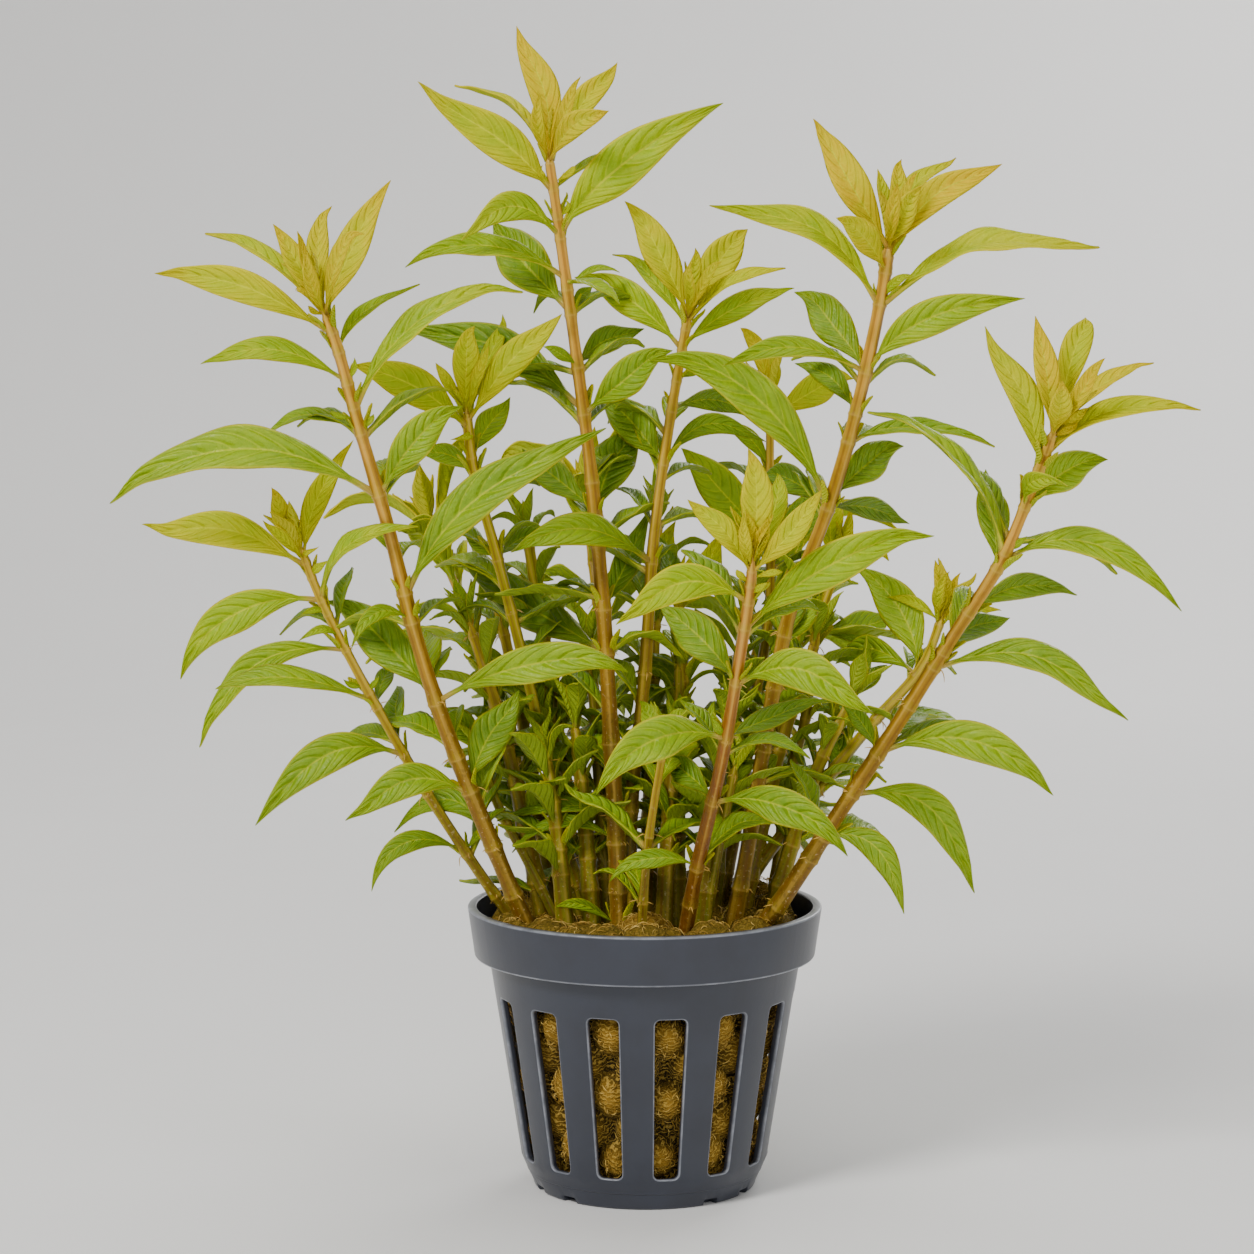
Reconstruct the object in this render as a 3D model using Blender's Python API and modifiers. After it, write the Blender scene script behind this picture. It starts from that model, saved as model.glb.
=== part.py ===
"""A potted bunch of golden ammannia: a slotted net pot, a plug of fibrous growing wool, and
the rooted leafy stems that stand in it.

Units are metres and +Z is up. The origin is the centre of the pot's flat underside. The stems
and leaves are placed as they are seen from the front, from VIEW_FROM: each is given by the
pixel columns and rows where it shows in the reference view, and by how deep it lies, which is
its distance behind the pot's axis (negative is nearer the front).
"""
import math

import bmesh
import bpy
from mathutils import Matrix, Vector

MM = 0.001

# The net pot
RIM_RADIUS = 25.0 * MM
POT_HEIGHT = 40.0 * MM
RIM_BAND_LOW = 33.0 * MM
RIM_BAND_LOW_RADIUS = 24.0 * MM
BODY_TOP_RADIUS = 22.0 * MM
BODY_LOW_RADIUS = 17.5 * MM
BODY_LOW = 4.5 * MM
BASE_RADIUS = 16.0 * MM
BASE_ROUND = 0.9 * MM
POT_WALL = 1.1 * MM
RIM_WALL_TOP = 1.3 * MM
RIM_WALL_LOW = 1.5 * MM
RIM_SHELF = 1.8 * MM
RIM_EDGE_IN = 0.2 * MM
RIM_EDGE_DOWN = 0.3 * MM
RIM_BAND_STEP = 0.2 * MM
SLOT_COUNT = 14
SLOT_TURN = math.radians(9.6)
SLOT_LOW = 4.7 * MM
SLOT_HIGH = 27.8 * MM
SLOT_WIDTH_LOW = 3.5 * MM
SLOT_WIDTH_HIGH = 4.5 * MM
SLOT_CORNER = 0.8 * MM
SLOT_CUT_FROM = 12.0 * MM
SLOT_CUT_TO = 30.0 * MM
NOTCH_WIDTH = 2.3 * MM
NOTCH_HEIGHT = 0.9 * MM
NOTCH_DEEP = 1.6 * MM
NOTCH_BELOW = 1.0 * MM
NOTCH_SLOTS = (1, 2, 4, 5, 8, 9, 11, 12)
POT_STEPS = 3 * SLOT_COUNT
POT_SHARP = math.radians(35)

# The growing wool
WOOL_TOP = 36.0 * MM
WOOL_STEPS = 2 * SLOT_COUNT
WOOL_SIDE_ROWS = 4
WOOL_TOP_EDGE = 1.0 * MM
WOOL_LOW_EDGE = 0.4 * MM
WOOL_WAVE = 0.5 * MM
WOOL_WAVE_RISE = 4.3 * MM
WOOL_CORE = 1.0 * MM
LUMP_SEGMENTS = 8
LUMP_RINGS = 5

# What touches keeps this gap
GAP = 0.3 * MM

# Points and caps nearer than this are one
WELD = 0.01 * MM

# The reference view
VIEW_FROM = Vector((-2.5, -500.0, 133.0)) * MM
VIEW_TO = Vector((-2.5, 0.0, 79.3)) * MM
VIEW_FOCAL = 3592.0
VIEW_CENTRE = 627.0
VIEW_AHEAD = (VIEW_TO - VIEW_FROM).normalized()
VIEW_RIGHT = Vector((1.0, 0.0, 0.0))
VIEW_UP = VIEW_RIGHT.cross(VIEW_AHEAD)
PIXEL = 0.14 * MM
FOOT_ROW = 945.0

# Leaves
LEAF_SLENDER = 0.17
LEAF_THICK = 0.8 * MM
LEAF_FOLD = 0.2
LEAF_SPREAD = 0.87
LEAF_TAPER = 1.25
LEAF_FOOT = 0.15
LEAF_NECK = 0.12
LEAF_BODY = 0.8
LEAF_CLEAR = 1.6 * GAP
BLADE_RINGS = (0.09, 0.26, 0.52, 0.8)
SMALL_RINGS = (0.12, 0.4, 0.74)
SHORT_RINGS = (0.3, 0.7)
SHORT_LEAF = 11.0 * MM
STEM_POINTS_MOST = 8
STEM_POINTS_LEAST = 3
STEM_SPAN = 16.0 * MM
STEM_BEVEL = 1
STEM_SHARP = math.radians(40)
TILT_MARGIN = 1.15

# Each stem: the column of its foot, its depth in mm at foot and top, its radius in mm at foot
# and top, and the (column, row) points that it passes, from the top down
STEMS = {
    "tall": (619, (-6, -1), (1.2, 0.7),
             ((548, 150), (560, 235), (577, 362), (590, 465), (601, 580), (609, 700), (617, 850))),
    "left": (531, (-7, -19), (1.2, 0.7),
             ((322, 305), (338, 350), (360, 430), (389, 530), (417, 640), (450, 740), (503, 870))),
    "right": (733, (-2, -7), (1.2, 0.8),
              ((890, 238), (880, 303), (857, 408), (829, 505), (790, 612), (766, 735),
               (751, 830))),
    "far_right": (747, (-9, -28), (1.2, 0.7),
                  ((1056, 425), (1037, 475), (1002, 560), (952, 638), (898, 723), (834, 820),
                   (776, 908))),
    "middle": (629, (1, 1), (1.0, 0.65),
               ((690, 308), (682, 350), (667, 440), (653, 545), (645, 670), (632, 800))),
    "front": (684, (-10, -33), (1.0, 0.65),
              ((753, 558), (748, 605), (736, 682), (720, 770), (697, 868))),
    "far_left": (519, (-1, -9), (0.85, 0.55),
                 ((300, 545), (320, 597), (362, 680), (421, 783), (481, 875))),
    "inner_left": (591, (4, 1), (0.95, 0.65),
                   ((466, 405), (474, 472), (498, 560), (532, 695), (562, 830))),
    "side": (728, (5, 2), (1.05, 0.6),
             ((944, 612), (921, 668), (870, 726), (812, 797), (757, 868))),
    "back": (718, (11, 24), (0.85, 0.6),
             ((770, 395), (770, 470), (769, 610), (755, 700), (738, 820))),
    "olive": (561, (-1, 3), (0.75, 0.6),
              ((480, 750), (497, 803), (532, 870))),
    "green": (611, (2, 6), (0.75, 0.6),
              ((548, 720), (580, 815), (604, 862))),
    "thin_right": (764, (6, 12), (0.8, 0.6),
                   ((840, 560), (816, 634), (806, 716), (788, 785), (774, 890))),
    "thin_middle": (671, (7, 9), (0.7, 0.6),
                    ((678, 600), (685, 707), (679, 831), (672, 908))),
    "short_front": (642, (-13, -15), (0.7, 0.55),
                    ((664, 745), (650, 831), (643, 905))),
    "short_right": (703, (-3, -4), (0.8, 0.6),
                    ((736, 762), (722, 831), (708, 905))),
}

# Each leaf that is a piece of its own: where it leaves its stem, its middle, its tip, its
# width as seen, and how many mm deeper than the stem its middle and its tip lie
BLADES = {
    "tall": {
        "leaf_1_left": ((549, 190), (497, 140), (415, 83), 40, (-2, -4)),
        "leaf_2_right": ((566, 228), (620, 165), (726, 104), 48, (-1, -3)),
        "leaf_3_left": ((560, 275), (485, 245), (404, 267), 24, (-4, -7)),
        "leaf_4_left": ((563, 310), (525, 262), (490, 224), 50, (4, 8)),
        "leaf_6_left": ((575, 408), (500, 350), (398, 325), 42, (9, 13)),
        "leaf_6_right": ((590, 412), (628, 375), (672, 348), 36, (-3, -5)),
    },
    "left": {
        "leaf_1_left": ((325, 334), (240, 287), (154, 268), 32, (1, 2)),
        "leaf_4_right": ((360, 402), (420, 320), (525, 286), 26, (-1, 1)),
        "leaf_6_left": ((370, 497), (240, 451), (101, 497), 42, (-2, -1)),
        "leaf_6_right": ((387, 493), (415, 440), (462, 403), 36, (-1, 1)),
        "leaf_7_right": ((413, 592), (480, 500), (607, 424), 42, (-2, -2)),
        "leaf_9_left": ((430, 698), (385, 640), (326, 596), 44, (7, 10)),
        "leaf_9_right": ((447, 700), (540, 660), (628, 676), 38, (-5, -7)),
        "leaf_10_left": ((467, 790), (405, 783), (346, 824), 34, (-3, -4)),
    },
    "right": {
        "leaf_1_left": ((874, 303), (810, 232), (709, 201), 30, (-2, -4)),
        "leaf_1_right": ((886, 305), (985, 250), (1102, 243), 24, (-2, -4)),
        "leaf_2_left": ((866, 370), (790, 349), (722, 366), 22, (-5, -9)),
        "leaf_2_right": ((873, 368), (930, 318), (1027, 298), 36, (-2, -3)),
        "leaf_4_right": ((855, 441), (915, 427), (997, 448), 18, (1, 2)),
        "leaf_5_left": ((822, 500), (755, 395), (648, 356), 44, (-1, -3)),
        "leaf_5_right": ((841, 502), (866, 463), (905, 445), 36, (4, 7)),
    },
    "far_right": {
        "leaf_1_right": ((1056, 456), (1115, 412), (1203, 406), 20, (-2, -4)),
        "leaf_2_right": ((1030, 510), (1062, 472), (1110, 459), 36, (2, 4)),
        "leaf_3_right": ((1003, 560), (1095, 545), (1185, 613), 28, (-2, -3)),
        "leaf_5_right": ((935, 668), (1040, 662), (1128, 724), 30, (-3, -5)),
        "leaf_6_right": ((886, 752), (975, 742), (1058, 794), 38, (-3, -4)),
        "leaf_7_right": ((860, 795), (930, 812), (979, 894), 36, (2, 4)),
    },
    "middle": {
        "leaf_1_left": ((680, 345), (630, 298), (573, 278), 34, (3, 6)),
        "leaf_5_left": ((652, 560), (578, 530), (507, 552), 33, (-11, -13)),
    },
    "front": {
        "leaf_1_left": ((742, 602), (680, 585), (617, 628), 36, (-2, -3)),
        "leaf_2_right": ((750, 627), (832, 563), (935, 530), 40, (-2, -3)),
        "leaf_3_right": ((742, 684), (805, 673), (874, 717), 40, (-4, -6)),
        "leaf_4_left": ((718, 740), (655, 738), (597, 796), 42, (-4, -7)),
        "leaf_5_right": ((722, 806), (785, 805), (848, 858), 36, (-5, -8)),
    },
    "far_left": {
        "leaf_1_left": ((299, 567), (225, 532), (141, 529), 36, (2, 3)),
        "leaf_2_left": ((318, 597), (235, 612), (180, 681), 38, (1, 2)),
        "leaf_3_left": ((343, 652), (255, 668), (194, 748), 28, (-1, -1)),
        "leaf_5_left": ((398, 757), (325, 757), (253, 827), 38, (-3, -4)),
    },
}

# The leaves that are one piece with their stem, given in the same way
SMALL_LEAVES = {
    "tall": (
        ((548, 152), (541, 88), (514, 25), 35, (-1, -1)),
        ((549, 152), (588, 100), (617, 62), 25, (1, 3)),
        ((549, 154), (578, 125), (609, 110), 25, (-7, -14)),
        ((548, 154), (510, 107), (455, 81), 10, (3, 6)),
        ((549, 157), (552, 110), (556, 85), 18, (5, 9)),
        ((560, 190), (595, 162), (640, 148), 10, (5, 9)),
        ((557, 235), (510, 207), (464, 243), 30, (-5, -9)),
        ((568, 280), (592, 284), (620, 301), 12, (-8, -14)),
        ((583, 363), (605, 342), (645, 328), 28, (6, 9)),
        ((585, 513), (555, 478), (520, 450), 32, (6, 10)),
        ((604, 515), (612, 465), (640, 425), 45, (7, 11)),
        ((603, 655), (530, 605), (455, 560), 45, (14, 20)),
        ((614, 608), (625, 565), (652, 507), 28, (8, 12)),
    ),
    "left": (
        ((322, 312), (298, 262), (271, 225), 22, (-2, -3)),
        ((322, 312), (318, 250), (329, 204), 22, (3, 5)),
        ((324, 314), (350, 250), (393, 180), 32, (0, 0)),
        ((323, 312), (338, 258), (365, 232), 18, (-6, -10)),
        ((322, 316), (262, 255), (204, 234), 16, (3, 6)),
        ((343, 350), (365, 312), (422, 285), 14, (4, 7)),
        ((340, 385), (270, 350), (202, 368), 24, (-5, -8)),
        ((357, 430), (305, 416), (257, 442), 14, (4, 6)),
        ((410, 622), (375, 613), (354, 650), 16, (-4, -7)),
        ((478, 782), (492, 735), (520, 690), 40, (4, 6)),
    ),
    "right": (
        ((887, 250), (850, 180), (809, 121), 34, (-2, -3)),
        ((889, 240), (883, 200), (879, 167), 14, (4, 7)),
        ((889, 240), (897, 190), (900, 159), 18, (0, 0)),
        ((889, 242), (920, 185), (958, 157), 18, (4, 7)),
        ((887, 255), (940, 195), (1003, 162), 30, (-2, -3)),
        ((888, 250), (903, 212), (925, 187), 24, (-6, -10)),
        ((884, 268), (862, 235), (837, 216), 28, (-5, -8)),
        ((862, 372), (833, 322), (795, 290), 40, (5, 8)),
        ((850, 410), (830, 378), (795, 362), 24, (5, 8)),
        ((835, 512), (870, 508), (909, 527), 24, (8, 12)),
        ((822, 505), (790, 478), (760, 480), 30, (9, 14)),
    ),
    "far_right": (
        ((1056, 432), (1046, 370), (1034, 316), 24, (-2, -3)),
        ((1056, 430), (1076, 350), (1089, 316), 28, (3, 5)),
        ((1056, 432), (1083, 388), (1106, 360), 16, (-5, -8)),
        ((1056, 436), (1100, 388), (1153, 358), 15, (0, 0)),
        ((1040, 466), (1020, 395), (983, 327), 30, (-2, -3)),
        ((1027, 508), (1035, 480), (1067, 488), 20, (-7, -11)),
        ((990, 566), (992, 515), (985, 469), 32, (5, 8)),
        ((1000, 556), (965, 468), (868, 405), 18, (-3, -5)),
        ((975, 618), (1020, 587), (1079, 592), 26, (8, 12)),
        ((945, 655), (975, 628), (1011, 616), 26, (9, 13)),
        ((874, 752), (862, 722), (838, 700), 18, (5, 8)),
        ((828, 835), (877, 850), (906, 916), 28, (-2, -3)),
    ),
    "middle": (
        ((688, 318), (660, 250), (623, 202), 34, (-1, -2)),
        ((690, 315), (720, 262), (746, 226), 36, (1, 2)),
        ((689, 318), (694, 275), (696, 248), 16, (-3, -5)),
        ((686, 326), (655, 280), (613, 252), 18, (4, 7)),
        ((687, 324), (733, 283), (786, 269), 14, (-4, -7)),
        ((686, 345), (735, 307), (796, 292), 26, (3, 6)),
        ((678, 412), (715, 400), (757, 421), 24, (6, 10)),
        ((658, 463), (633, 425), (600, 385), 40, (5, 9)),
        ((664, 462), (710, 425), (766, 445), 22, (4, 6)),
        ((648, 600), (670, 570), (655, 530), 22, (7, 11)),
    ),
    "front": (
        ((753, 568), (757, 500), (750, 448), 31, (-1, -2)),
        ((753, 566), (775, 508), (778, 472), 22, (4, 6)),
        ((752, 574), (720, 528), (688, 499), 24, (-2, -4)),
        ((752, 575), (792, 530), (824, 490), 25, (-3, -5)),
        ((728, 681), (700, 637), (657, 606), 40, (6, 10)),
        ((730, 740), (770, 717), (835, 698), 22, (8, 12)),
        ((708, 802), (688, 772), (656, 760), 28, (7, 10)),
        ((693, 867), (650, 857), (609, 884), 20, (-2, -3)),
    ),
    "far_left": (
        ((301, 555), (283, 515), (272, 487), 20, (-1, -2)),
        ((301, 552), (296, 528), (292, 506), 12, (3, 4)),
        ((302, 556), (318, 500), (351, 437), 24, (1, 2)),
        ((301, 560), (282, 538), (262, 522), 12, (-4, -7)),
        ((323, 597), (350, 545), (420, 527), 18, (-7, -10)),
        ((368, 703), (285, 678), (215, 690), 22, (-5, -7)),
        ((380, 702), (383, 680), (398, 664), 18, (5, 8)),
        ((462, 853), (405, 842), (371, 893), 22, (-3, -4)),
    ),
    "inner_left": (
        ((466, 412), (466, 360), (472, 325), 28, (-2, -3)),
        ((466, 412), (492, 355), (505, 314), 18, (3, 5)),
        ((466, 414), (448, 382), (434, 363), 12, (0, 1)),
        ((469, 420), (515, 360), (561, 312), 32, (-4, -6)),
        ((467, 425), (410, 385), (352, 364), 38, (-5, -7)),
        ((475, 455), (490, 425), (512, 398), 28, (4, 6)),
        ((472, 475), (448, 455), (415, 453), 22, (3, 4)),
        ((500, 560), (524, 538), (560, 530), 22, (7, 10)),
    ),
    "side": (
        ((942, 618), (943, 590), (934, 560), 20, (0, 0)),
        ((941, 620), (970, 612), (1002, 612), 13, (3, 5)),
        ((940, 622), (915, 603), (886, 597), 12, (4, 6)),
        ((920, 668), (900, 610), (856, 564), 42, (5, 8)),
        ((915, 676), (870, 650), (833, 663), 28, (6, 9)),
        ((820, 788), (838, 752), (820, 712), 24, (4, 6)),
    ),
    "back": (
        ((770, 405), (757, 350), (741, 326), 18, (0, 0)),
        ((770, 405), (772, 375), (774, 350), 18, (4, 6)),
        ((772, 420), (815, 388), (855, 377), 34, (2, 4)),
        ((769, 470), (750, 438), (715, 425), 18, (2, 3)),
        ((768, 545), (722, 490), (680, 450), 42, (-4, -6)),
        ((769, 560), (800, 520), (822, 480), 36, (3, 5)),
    ),
    "olive": (
        ((480, 760), (462, 725), (430, 712), 30, (3, 5)),
        ((480, 760), (494, 722), (480, 690), 26, (6, 9)),
        ((484, 770), (520, 742), (552, 750), 26, (6, 9)),
    ),
    "green": (
        ((549, 728), (530, 690), (540, 650), 30, (2, 4)),
        ((549, 728), (572, 690), (568, 655), 28, (5, 8)),
        ((566, 775), (540, 762), (515, 780), 20, (4, 6)),
    ),
    "thin_right": (
        ((839, 568), (830, 520), (842, 480), 26, (3, 5)),
        ((838, 572), (866, 548), (890, 560), 24, (4, 6)),
        ((817, 634), (860, 628), (893, 610), 34, (5, 8)),
        ((816, 636), (784, 604), (760, 606), 26, (4, 7)),
        ((806, 716), (836, 706), (852, 740), 22, (4, 6)),
    ),
    "thin_middle": (
        ((678, 608), (664, 566), (676, 520), 30, (3, 5)),
        ((678, 608), (704, 574), (722, 530), 30, (3, 5)),
        ((684, 680), (712, 650), (722, 690), 28, (3, 5)),
        ((684, 700), (664, 668), (640, 668), 26, (4, 6)),
    ),
    "short_front": (
        ((663, 752), (652, 722), (640, 700), 20, (2, 3)),
        ((663, 752), (676, 720), (690, 712), 16, (3, 5)),
    ),
    "short_right": (
        ((735, 770), (712, 735), (716, 700), 22, (4, 6)),
        ((735, 770), (757, 742), (778, 748), 22, (4, 6)),
    ),
}

# The shoots behind, which the reference view hardly shows: the foot and the top in mm, and
# the number of leaf pairs
BACK_SHOOTS = {
    "rear_left_shoot": ((-11.0, 11.0), (-32.0, 30.0, 92.0), 4),
    "rear_shoot": ((-3.0, 15.0), (-9.0, 44.0, 96.0), 4),
    "rear_right_shoot": ((6.5, 15.5), (23.0, 40.0, 88.0), 4),
}
SHOOT_RADIUS = (0.9 * MM, 0.6 * MM)
SHOOT_LEAF_LONG = 19.0 * MM
SHOOT_LEAF_WIDE = 5.0 * MM
SHOOT_LEAF_DROOP = 5.0 * MM
SHOOT_FIRST_PAIR = 0.3
SHOOT_LAST_PAIR = 0.97
SHOOT_FIRST_TURN = 0.6
SHOOT_TURN = math.radians(90)
SHOOT_LIFT_LOW = 0.25
SHOOT_LIFT_GAIN = 0.9
SHOOT_LEAF_ARCH = 0.3
SHOOT_LEAF_LEAN = 0.5
SHOOT_BOW = 4.0 * MM

# Lumps that stand above the wool's top: centre and size in mm
WOOL_LUMPS = (
    ((0.9, -5.6, 36.2), (2.8, 3.0, 3.7)),
    ((10.4, -7.6, 35.9), (1.9, 2.0, 2.8)),
    ((0.6, 13.0, 35.6), (4.2, 2.8, 3.0)),
    ((-14.8, 9.0, 35.6), (2.6, 2.4, 2.2)),
    ((17.0, -2.0, 35.8), (2.0, 2.6, 2.0)),
)

# Plain finishes: the sRGB colour, 0 to 1, and the roughness
FINISHES = {
    "slate_plastic": ((0.345, 0.36, 0.40), 0.38),
    "growing_wool": ((0.66, 0.50, 0.22), 0.95),
    "stem_green_brown": ((0.67, 0.52, 0.26), 0.5),
    "leaf_green": ((0.56, 0.66, 0.22), 0.5),
    "shoot_green": ((0.42, 0.52, 0.16), 0.55),
}


def remove_everything():
    for thing in list(bpy.data.objects):
        bpy.data.objects.remove(thing, do_unlink=True)


def new_collection(name):
    group = bpy.data.collections.new(name)
    bpy.context.scene.collection.children.link(group)
    return group


def finish(name):
    """A plain material from its row of FINISHES."""
    colour, roughness = FINISHES[name]
    material = bpy.data.materials.new(name)
    material.use_nodes = True
    shader = material.node_tree.nodes["Principled BSDF"]
    linear = [(c / 12.92 if c <= 0.04045 else ((c + 0.055) / 1.055) ** 2.4) for c in colour]
    shader.inputs["Base Color"].default_value = (*linear, 1.0)
    shader.inputs["Roughness"].default_value = roughness
    shader.inputs["Metallic"].default_value = 0.0
    return material


def object_from(group, name, mesh, material):
    piece = bpy.data.objects.new(name, mesh)
    mesh.materials.clear()
    mesh.materials.append(material)
    group.objects.link(piece)
    return piece


def as_cutter(piece):
    piece.hide_render = True
    piece.display_type = "WIRE"
    return piece


def evaluated_mesh(piece):
    """The mesh of an object after its modifiers, with its loose caps welded."""
    bpy.context.view_layer.update()
    ready = piece.evaluated_get(bpy.context.evaluated_depsgraph_get())
    mesh = bpy.data.meshes.new_from_object(ready)
    mesh.transform(piece.matrix_world)
    work = bmesh.new()
    work.from_mesh(mesh)
    bmesh.ops.remove_doubles(work, verts=work.verts, dist=WELD)
    bmesh.ops.recalc_face_normals(work, faces=work.faces)
    work.to_mesh(mesh)
    work.free()
    return mesh


def turned(name, group, profile, steps, material):
    """A profile of (radius, height) points that runs down its outer side, turned about Z."""
    mesh = bpy.data.meshes.new(name)
    points = [(radius, 0.0, height) for radius, height in profile]
    mesh.from_pydata(points, [(i, i + 1) for i in range(len(points) - 1)], [])
    piece = object_from(group, name, mesh, material)
    screw = piece.modifiers.new("turn", "SCREW")
    screw.steps = steps
    screw.render_steps = steps
    screw.use_merge_vertices = True
    screw.merge_threshold = WELD
    screw.use_normal_calculate = True
    piece.data = evaluated_mesh(piece)
    piece.modifiers.clear()
    return piece


def union(piece, others):
    """Joins the other objects to a piece in one solid, and removes them."""
    group = bpy.data.collections.new(piece.name + "_joined")
    for other in others:
        group.objects.link(other)
    join = piece.modifiers.new("join", "BOOLEAN")
    join.operation = "UNION"
    join.operand_type = "COLLECTION"
    join.collection = group
    join.solver = "EXACT"
    material = piece.data.materials[0]
    mesh = evaluated_mesh(piece)
    piece.modifiers.clear()
    piece.data = mesh
    mesh.materials.clear()
    mesh.materials.append(material)
    for other in others:
        bpy.data.objects.remove(other, do_unlink=True)
    bpy.data.collections.remove(group)
    return piece


def wall_radius(height):
    """The outer radius of the pot's body at a height."""
    share = (height - BODY_LOW) / (RIM_BAND_LOW - BODY_LOW)
    return BODY_LOW_RADIUS + share * (BODY_TOP_RADIUS - BODY_LOW_RADIUS)


def pot_profile():
    """The pot's wall as one loop from the middle of its floor, up inside and down outside."""
    return (
        (0.0, POT_WALL),
        (BASE_RADIUS - POT_WALL, POT_WALL),
        (BODY_LOW_RADIUS - POT_WALL, BODY_LOW),
        (BODY_TOP_RADIUS - POT_WALL, RIM_BAND_LOW + POT_WALL),
        (RIM_RADIUS - RIM_WALL_LOW, RIM_BAND_LOW + RIM_SHELF),
        (RIM_RADIUS - RIM_WALL_TOP, POT_HEIGHT),
        (RIM_RADIUS - RIM_EDGE_IN, POT_HEIGHT),
        (RIM_RADIUS, POT_HEIGHT - RIM_EDGE_DOWN),
        (RIM_BAND_LOW_RADIUS, RIM_BAND_LOW),
        (BODY_TOP_RADIUS, RIM_BAND_LOW - RIM_BAND_STEP),
        (BODY_LOW_RADIUS, BODY_LOW),
        (BASE_RADIUS, BASE_ROUND),
        (BASE_RADIUS - BASE_ROUND, 0.0),
        (0.0, 0.0),
    )


def slot_outline():
    """A tapered slot with cut corners, as (across, height) points."""
    low = SLOT_WIDTH_LOW / 2
    high = SLOT_WIDTH_HIGH / 2
    corner = SLOT_CORNER
    right = ((low - corner, SLOT_LOW), (low, SLOT_LOW + corner), (high, SLOT_HIGH - corner),
             (high - corner, SLOT_HIGH))
    left = [(-across, height) for across, height in reversed(right)]
    return [*right, *left]


def prism(work, outline, near, far, turn):
    """Adds an outline in the XZ plane, extruded from near to far along -Y and turned."""
    spin = Matrix.Rotation(turn, 3, "Z")
    rings = []
    for reach in (near, far):
        ring = [work.verts.new(spin @ Vector((across, -reach, height)))
                for across, height in outline]
        rings.append(ring)
    work.faces.new(rings[0])
    work.faces.new(list(reversed(rings[1])))
    count = len(outline)
    for i in range(count):
        j = (i + 1) % count
        work.faces.new((rings[0][i], rings[1][i], rings[1][j], rings[0][j]))


def make_net_pot(parts, cutters):
    plastic = finish("slate_plastic")
    pot = turned("net_pot", parts, pot_profile(), POT_STEPS, plastic)
    pitch = 2 * math.pi / SLOT_COUNT

    work = bmesh.new()
    for i in range(SLOT_COUNT):
        prism(work, slot_outline(), SLOT_CUT_FROM, SLOT_CUT_TO, SLOT_TURN + i * pitch)
    half = NOTCH_WIDTH / 2
    notch = ((-half, -NOTCH_BELOW), (half, -NOTCH_BELOW), (half, NOTCH_HEIGHT),
             (-half, NOTCH_HEIGHT))
    for i in NOTCH_SLOTS:
        prism(work, notch, BASE_RADIUS - NOTCH_DEEP, SLOT_CUT_TO, SLOT_TURN + i * pitch)
    bmesh.ops.recalc_face_normals(work, faces=work.faces)
    mesh = bpy.data.meshes.new("slot_cutter")
    work.to_mesh(mesh)
    work.free()
    cutter = as_cutter(object_from(cutters, "slot_cutter", mesh, plastic))
    cut = pot.modifiers.new("slots", "BOOLEAN")
    cut.operation = "DIFFERENCE"
    cut.solver = "EXACT"
    cut.object = cutter
    pot.data.shade_smooth()
    pot.data.set_sharp_from_angle(angle=POT_SHARP)
    return pot


def make_wool(parts):
    """A turned plug inside the pot, with rows of lumps pressed into its side."""
    wool = finish("growing_wool")
    clear = POT_WALL + GAP
    side = []
    for i in range(WOOL_SIDE_ROWS, -1, -1):
        height = BODY_LOW + (RIM_BAND_LOW - BODY_LOW) * i / WOOL_SIDE_ROWS
        side.append((wall_radius(height) - clear, height))
    rim = BODY_TOP_RADIUS - clear
    profile = [(0.0, WOOL_TOP), (rim - WOOL_TOP_EDGE, WOOL_TOP), *side,
               (BASE_RADIUS - clear - WOOL_LOW_EDGE, clear), (0.0, clear)]
    plug = turned("wool_plug", parts, profile, WOOL_STEPS, wool)
    for vertex in plug.data.vertices:
        place = vertex.co
        radius = math.hypot(place.x, place.y)
        if radius > WOOL_CORE and BODY_LOW - GAP < place.z < WOOL_TOP - GAP:
            angle = math.atan2(place.y, place.x)
            wave = math.sin(angle * SLOT_COUNT + place.z / WOOL_WAVE_RISE * math.pi)
            scale = 1 - WOOL_WAVE * (1 + wave) / radius
            place.x *= scale
            place.y *= scale
    lumps = []
    for i, (centre, size) in enumerate(WOOL_LUMPS):
        bpy.ops.mesh.primitive_uv_sphere_add(segments=LUMP_SEGMENTS, ring_count=LUMP_RINGS,
                                             radius=1.0)
        lump = bpy.context.object
        lump.name = "wool_lump_" + str(i)
        lump.data.transform(Matrix.Diagonal((*(Vector(size) * MM), 1.0)))
        lump.data.transform(Matrix.Translation(Vector(centre) * MM))
        bpy.context.collection.objects.unlink(lump)
        parts.objects.link(lump)
        lumps.append(lump)
    union(plug, lumps)
    plug.data.shade_smooth()
    return plug


def seen(column, row, depth):
    """The point at a pixel of the reference view that lies at a depth, in metres."""
    ray = (VIEW_AHEAD + VIEW_RIGHT * ((column - VIEW_CENTRE) / VIEW_FOCAL)
           + VIEW_UP * ((VIEW_CENTRE - row) / VIEW_FOCAL))
    return VIEW_FROM + ray * ((depth - VIEW_FROM.y) / ray.y)


def tilt_rise(foot, above, radius):
    """How far a leaning stem's cut end is raised, so that its low edge clears the wool."""
    lean = (above - foot).normalized()
    return radius * TILT_MARGIN * math.hypot(lean.x, lean.y)


def foot_point(column, depth, radius, above):
    """The point over the wool's top that shows in a column, at a depth."""
    place = Vector((0.0, depth, WOOL_TOP + GAP))
    away = (place - VIEW_FROM).dot(VIEW_AHEAD)
    place.x = VIEW_FROM.x + away * (column - VIEW_CENTRE) / VIEW_FOCAL
    place.z += tilt_rise(place, above, radius)
    return place


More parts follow.
